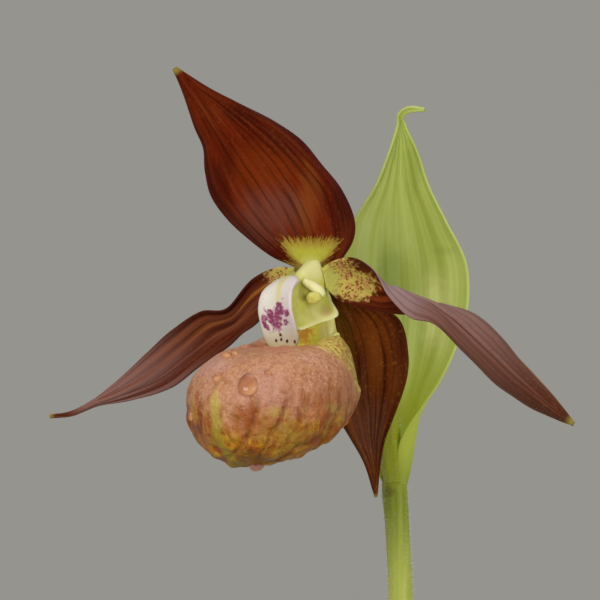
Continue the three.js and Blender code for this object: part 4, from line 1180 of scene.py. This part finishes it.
def leaf_surface(leaf):
    """Sheath round the stem that opens into an arching pleated blade."""
    heading = math.radians(leaf["toward"])
    out = np.array([math.cos(heading), math.sin(heading), 0])
    side = np.cross(UP, out)
    sheath = stem_radius(leaf["base"]) + GAP + SHEATH_SLACK
    whole = SHEATH_LENGTH + leaf["length"]
    s = np.linspace(0, whole, 400)
    opened = smooth(SHEATH_LENGTH * 0.75, SHEATH_LENGTH * 2.1, s)
    arched = np.maximum(0, s - SHEATH_LENGTH) / leaf["length"]
    tilt = np.radians(opened * leaf["lean"] + arched ** 2 * leaf["droop"])
    step = s[1] - s[0]
    reach = sheath + np.concatenate([[0], np.cumsum(np.sin(tilt[1:]))]) * step
    height = leaf["base"] + np.concatenate([[0], np.cumsum(np.cos(tilt[1:]))]) * step

    def surface(t, v):
        s_here = t * whole
        x, z, lean = (np.interp(s_here, s, values) for values in (reach, height, tilt))
        share = np.maximum(0, s_here - SHEATH_LENGTH) / leaf["length"]
        opened = smooth(SHEATH_LENGTH * 0.7, SHEATH_LENGTH * 2.2, s_here)
        wrap = lerp(SHEATH_WRAP, 0.62 + 0.25 * (1 - share), opened)
        outline = np.maximum(0, np.sin(math.pi * (0.12 + 0.88 * share) ** 0.85)) ** 0.85
        half = lerp(sheath * SHEATH_WRAP, 0.5 + leaf["half"] * outline, opened)
        radius = half / wrap
        inward = -np.cos(lean)[..., None] * out + np.sin(lean)[..., None] * UP
        depth = LEAF_FOLD_DEPTH * opened * smooth(1, 0.75, share) * (1 - 0.5 * v * v)
        lift = radius * (1 - np.cos(wrap * v)) + zigzag(v * LEAF_FOLDS) * depth
        point = x[..., None] * out + z[..., None] * UP + lift[..., None] * inward
        return point + (radius * np.sin(wrap * v))[..., None] * side
    return surface


def leaves():
    look, colour = leaf_look("leaf", (142, 164, 78), (104, 132, 52), 0.4)
    material = look.done(colour)

    def relief(t, v, place):
        return 0.05 * np.cos(30 * math.pi * v) * smooth(0.1, 0.3, t) * smooth(1, 0.9, t)
    for i, leaf in enumerate(LEAVES):
        made = blade(leaf_surface(leaf), LEAF_THICKNESS, 150, 84, relief, thin_edge=0.2)
        add_blade(f"leaf_{i + 1}", made, material, "leaf")


def stem_reach(t, angle):
    """Radius of the stem, which swells a little at the node and ends in a dome."""
    z = lerp(STEM_FOOT_Z, COLLAR_TOP[2], t)
    swell = COLLAR_SWELL * smooth(NODE_Z - 10, NODE_Z - 1, z)
    domed = np.sqrt(np.maximum(0, 1 - np.maximum(0, (z - NODE_Z) / COLLAR_RISE) ** 2))
    return (stem_radius(z) + swell) * lerp(0.8, 1, domed) + 0.05 * np.cos(7 * angle + 2 * t)


def ovary_reach(t, angle):
    """Radius of the six-ribbed ovary, with a waist at its foot."""
    swell = OVARY_RADIUS * (0.82 + 0.18 * np.sin(math.pi * np.minimum(1, t * 1.1)))
    swell = swell * lerp(OVARY_WAIST, 1, smooth(0, 0.12, t))
    return swell * (1 + 0.05 * np.cos(6 * angle)) + 0.2 * smooth(0.05, 0, t)


def stem_and_ovary():
    """Stem and ovary with the hairs on them."""
    look, hair = stem_look(), hair_look()
    draw = np.random.default_rng(12)
    for name, path, reach, rings, amount, low in (
            ("stem", [*STEM_PATH, COLLAR_TOP], stem_reach, 280, 7000, 0.1),
            ("ovary", placed(OVARY_PATH), ovary_reach, 90, 2000, 0.0)):
        grid, ways = bar(path, rings, STALK_SIDES, reach)
        points, faces = closed_tube(grid)
        add_piece(name, points, faces, {}, look, "stem", name)
        row = draw.integers(int(low * rings), rings - 1, amount)
        side = draw.integers(0, STALK_SIDES, amount)
        spread = draw.normal(0, HAIR_SPREAD, (amount, 3))
        roots = lerp(grid[row, side], grid[row + 1, side], draw.uniform(0, 1, (amount, 1)))
        hair_piece(f"{name}_hairs", roots, unit(ways[row, side] + spread),
                   draw.uniform(*HAIR_LENGTHS, amount), HAIR_WIDTH, hair, "stem")


def revolved(outline, segments):
    """Rings of a turned shape from points of radius and height."""
    radius, height = np.array(outline).T[..., None]
    angle = full_turn(segments)
    return np.stack([radius * np.cos(angle), radius * np.sin(angle),
                     np.repeat(height, segments, 1)], -1)


def finely(outline, step):
    """The outline with points added, about step apart."""
    fine = []
    for (r0, z0), (r1, z1) in zip(outline, outline[1:]):
        steps = max(1, round(math.hypot(r1 - r0, z1 - z0) / step))
        fine += [(lerp(r0, r1, k / steps), lerp(z0, z1, k / steps)) for k in range(steps)]
    return [*fine, outline[-1]]


def pot():
    """Pot turned round its axis with faint lines of the hand, and drain holes cut through."""
    inner_top = POT_RIM_RADIUS - POT_WALL
    inner_foot = POT_FOOT_RADIUS - POT_WALL + 1
    shoulder = POT_HEIGHT - POT_RIM_HEIGHT
    outline = finely([
        (4, 0), (POT_FOOT_RADIUS - 1.5, 0), (POT_FOOT_RADIUS, 1.5), (POT_BODY_TOP_RADIUS, shoulder),
        (POT_RIM_RADIUS - 2.5, shoulder), (POT_RIM_RADIUS - 1.5, shoulder + 1),
        (POT_RIM_RADIUS, POT_HEIGHT - 2), (POT_RIM_RADIUS - 0.6, POT_HEIGHT - 0.6),
        (POT_RIM_RADIUS - 2, POT_HEIGHT), (inner_top + 1.5, POT_HEIGHT),
        (inner_top + 0.4, POT_HEIGHT - 0.4), (inner_top, POT_HEIGHT - POT_EDGE),
        (inner_top - POT_NECK_IN, shoulder - POT_NECK_DROP), (inner_foot, POT_FLOOR),
        (4, POT_FLOOR),
    ], 2.0)
    rings = revolved(outline, 144)
    lines = POT_WOBBLE * swells(rings * [0.05, 0.05, 1], 6, 2)
    rings[..., :2] *= (1 + lines / np.maximum(np.array(outline)[:, :1], 10))[..., None]
    points, faces = closed_tube(rings)
    cut_drains(add_piece("pot", points, faces, {}, clay_look(), "clay", "pot"))


def cut_drains(piece):
    """Cuts the drain holes through the pot's floor."""
    cutters = []
    for i in range(DRAIN_COUNT):
        angle = math.pi / 4 + 2 * math.pi * i / DRAIN_COUNT
        place = (DRAIN_OUT * MM * math.cos(angle), DRAIN_OUT * MM * math.sin(angle), 0)
        bpy.ops.mesh.primitive_cylinder_add(vertices=40, radius=DRAIN_RADIUS * MM,
                                            depth=4 * POT_FLOOR * MM, location=place)
        cutters.append(bpy.context.object)
        cut = piece.modifiers.new("drain", "BOOLEAN")
        cut.object = cutters[-1]
        cut.solver = "EXACT"
    mesh = bpy.data.meshes.new_from_object(
        piece.evaluated_get(bpy.context.evaluated_depsgraph_get()))
    piece.modifiers.clear()
    piece.data = mesh
    for cutter in cutters:
        bpy.data.objects.remove(cutter)


def lump(x, y):
    """How far the potting mix rises or falls at a place on its top."""
    broad = np.sin(x / 7.1 + 1.3) * np.cos(y / 6.3 - 0.6)
    fine = np.sin(x / 2.9 + y / 3.7) * np.cos(y / 2.6 - x / 4.9 + 2)
    return SOIL_LUMP * (0.55 * broad + 0.45 * fine)


def soil():
    """Potting mix that fills the pot, with a hole for the stem and an uneven top."""
    hole = STEM_FOOT_RADIUS + GAP
    shoulder = POT_HEIGHT - POT_RIM_HEIGHT - POT_NECK_DROP
    inner_foot = POT_FOOT_RADIUS - POT_WALL + 1 - GAP
    inner_shoulder = POT_RIM_RADIUS - POT_WALL - POT_NECK_IN - GAP
    wall_slope = POT_NECK_IN / (POT_RIM_HEIGHT + POT_NECK_DROP - POT_EDGE)
    top_radius = inner_shoulder + wall_slope * (SOIL_TOP - shoulder) - 0.1
    top = [(r, SOIL_TOP) for r in np.linspace(top_radius, hole, 56)]
    rings = revolved([(inner_foot, POT_FLOOR + GAP), (inner_shoulder, shoulder), *top,
                      (hole, STEM_FOOT_Z - GAP)], 160)
    surface = rings[3:-1]
    surface[..., 2] += lump(surface[..., 0], surface[..., 1]) + 0.5 * swells(surface, 2.4, 7)
    points, faces = closed_tube(rings)
    look = mix_look()
    add_piece("soil", points, faces, {"grain": np.zeros(len(points))}, look, "soil", "soil")
    chips(look, top_radius)


def ball_corners():
    """The twelve corners of an even ball made of triangles."""
    long = (1 + math.sqrt(5)) / 2
    corners = []
    for short in (1, -1):
        corners += [(0, short, long), (0, short, -long), (short, long, 0), (short, -long, 0),
                    (long, 0, short), (-long, 0, short)]
    return unit(np.array(corners))


def chips(look, top_radius):
    """Bark chips and pale grit, half sunk in the top of the potting mix."""
    draw = np.random.default_rng(31)
    corners = ball_corners()
    hull = convex_faces(corners)
    points, faces, grain = [], [], []
    for _ in range(CHIP_COUNT):
        pale = draw.uniform() > 1 - GRIT_SHARE
        size = draw.uniform(*(GRIT_SIZES if pale else BARK_SIZES))
        out = draw.uniform(0.08, 1) ** 0.5 * (top_radius - size - 1)
        angle = draw.uniform(0, 2 * math.pi)
        flat = 1 if pale else draw.uniform(0.3, 0.6)
        body = corners * draw.uniform(0.75, 1.2, (12, 1))
        body = body * [size, size * draw.uniform(0.5, 1), flat * size]
        lean, turn = draw.uniform(-0.5, 0.5), draw.uniform(0, 2 * math.pi)
        body = body @ rotation(turn, lean)
        x, y = out * math.cos(angle), out * math.sin(angle)
        if out < CHIPS_CLEAR_OF_STEM:
            continue
        body += [x, y, SOIL_TOP + lump(x, y) + 0.2 * size * flat]
        faces += [[len(points) * 12 + k for k in face] for face in hull]
        points.append(body)
        grain.append(np.full(12, 1.0 if pale else draw.uniform(0, 0.85)))
    piece = add_piece("chips", np.concatenate(points), faces, {"grain": np.concatenate(grain)},
                      look, "soil")
    piece.data.shade_flat()


def convex_faces(corners):
    """Triangles of the hull of an even twelve-cornered ball, turned outward."""
    side = min(np.linalg.norm(corners[0] - other) for other in corners[1:]) * 1.01
    near = [[np.linalg.norm(a - b) < side for b in corners] for a in corners]
    faces = []
    for a in range(12):
        for b in range(a + 1, 12):
            for c in range(b + 1, 12):
                if near[a][b] and near[b][c] and near[a][c]:
                    outward = np.dot(corners[a], np.cross(corners[b], corners[c])) > 0
                    faces.append([a, b, c] if outward else [a, c, b])
    return faces


def rotation(turn, lean):
    """Matrix that leans points over and then turns them round the upright."""
    c, s = math.cos(turn), math.sin(turn)
    d, e = math.cos(lean), math.sin(lean)
    leaned = np.array([[1, 0, 0], [0, d, e], [0, -e, d]])
    return leaned @ np.array([[c, s, 0], [-s, c, 0], [0, 0, 1]])


# Studio

def ground():
    """Plain pale floor under the pot, which is stage and no part of the plant."""
    look = Look("floor", Roughness=0.8)
    soft = look.noise(look.place(), 0.002)
    mesh = bpy.data.meshes.new("floor")
    side = 3.0
    mesh.from_pydata([(-side, -side, 0), (side, -side, 0), (side, side, 0), (-side, side, 0)],
                     [], [(0, 1, 2, 3)])
    mesh.materials.append(look.done(look.mix(soft, srgb(190, 188, 182), srgb(196, 194, 188))))
    floor = bpy.data.objects.new("floor", mesh)
    bpy.context.scene.collection.objects.link(floor)


def lights():
    """Plain grey surroundings, a large light from the left, a weaker one opposite, one above."""
    world = bpy.data.worlds.new("studio")
    bpy.context.scene.world = world
    world.use_nodes = True
    world.node_tree.nodes["Background"].inputs["Color"].default_value = srgb(149, 148, 143)
    for name, place, size, power in (
            ("key", (-0.9, -1.6, 1.05), 1.0, 22), ("fill", (1.2, -1.3, 0.6), 1.2, 10),
            ("top", (0.1, 0.5, 1.7), 1.2, 9)):
        light = bpy.data.lights.new(name, "AREA")
        light.size = size
        light.energy = power
        lamp = bpy.data.objects.new(name, light)
        lamp.location = place
        aim = bpy.data.objects.new("aim", None).location
        aim.xyz = (-0.02, -0.02, 0.28)
        lamp.rotation_euler = (aim - lamp.location).to_track_quat("-Z", "Y").to_euler()
        bpy.context.scene.collection.objects.link(lamp)
    bpy.context.scene.view_settings.view_transform = "Standard"


def camera():
    lens = bpy.data.cameras.new("camera")
    lens.sensor_width = SENSOR
    lens.lens = SENSOR * VIEW_DISTANCE / VIEW_WIDTH
    lens.clip_end = 20
    seen_from = bpy.data.objects.new("camera", lens)
    seen_from.location = (FLOWER[0] * MM, (FLOWER[1] - VIEW_DISTANCE) * MM, FLOWER[2] * MM)
    seen_from.rotation_euler = (math.pi / 2, 0, 0)
    bpy.context.scene.collection.objects.link(seen_from)
    bpy.context.scene.camera = seen_from


camera()
pot()
soil()
stem_and_ovary()
leaves()
bract()
dorsal_sepal()
lower_sepal()
petals()
column()
filaments()
anthers()
staminode()
lip()
drops()
ground()
lights()
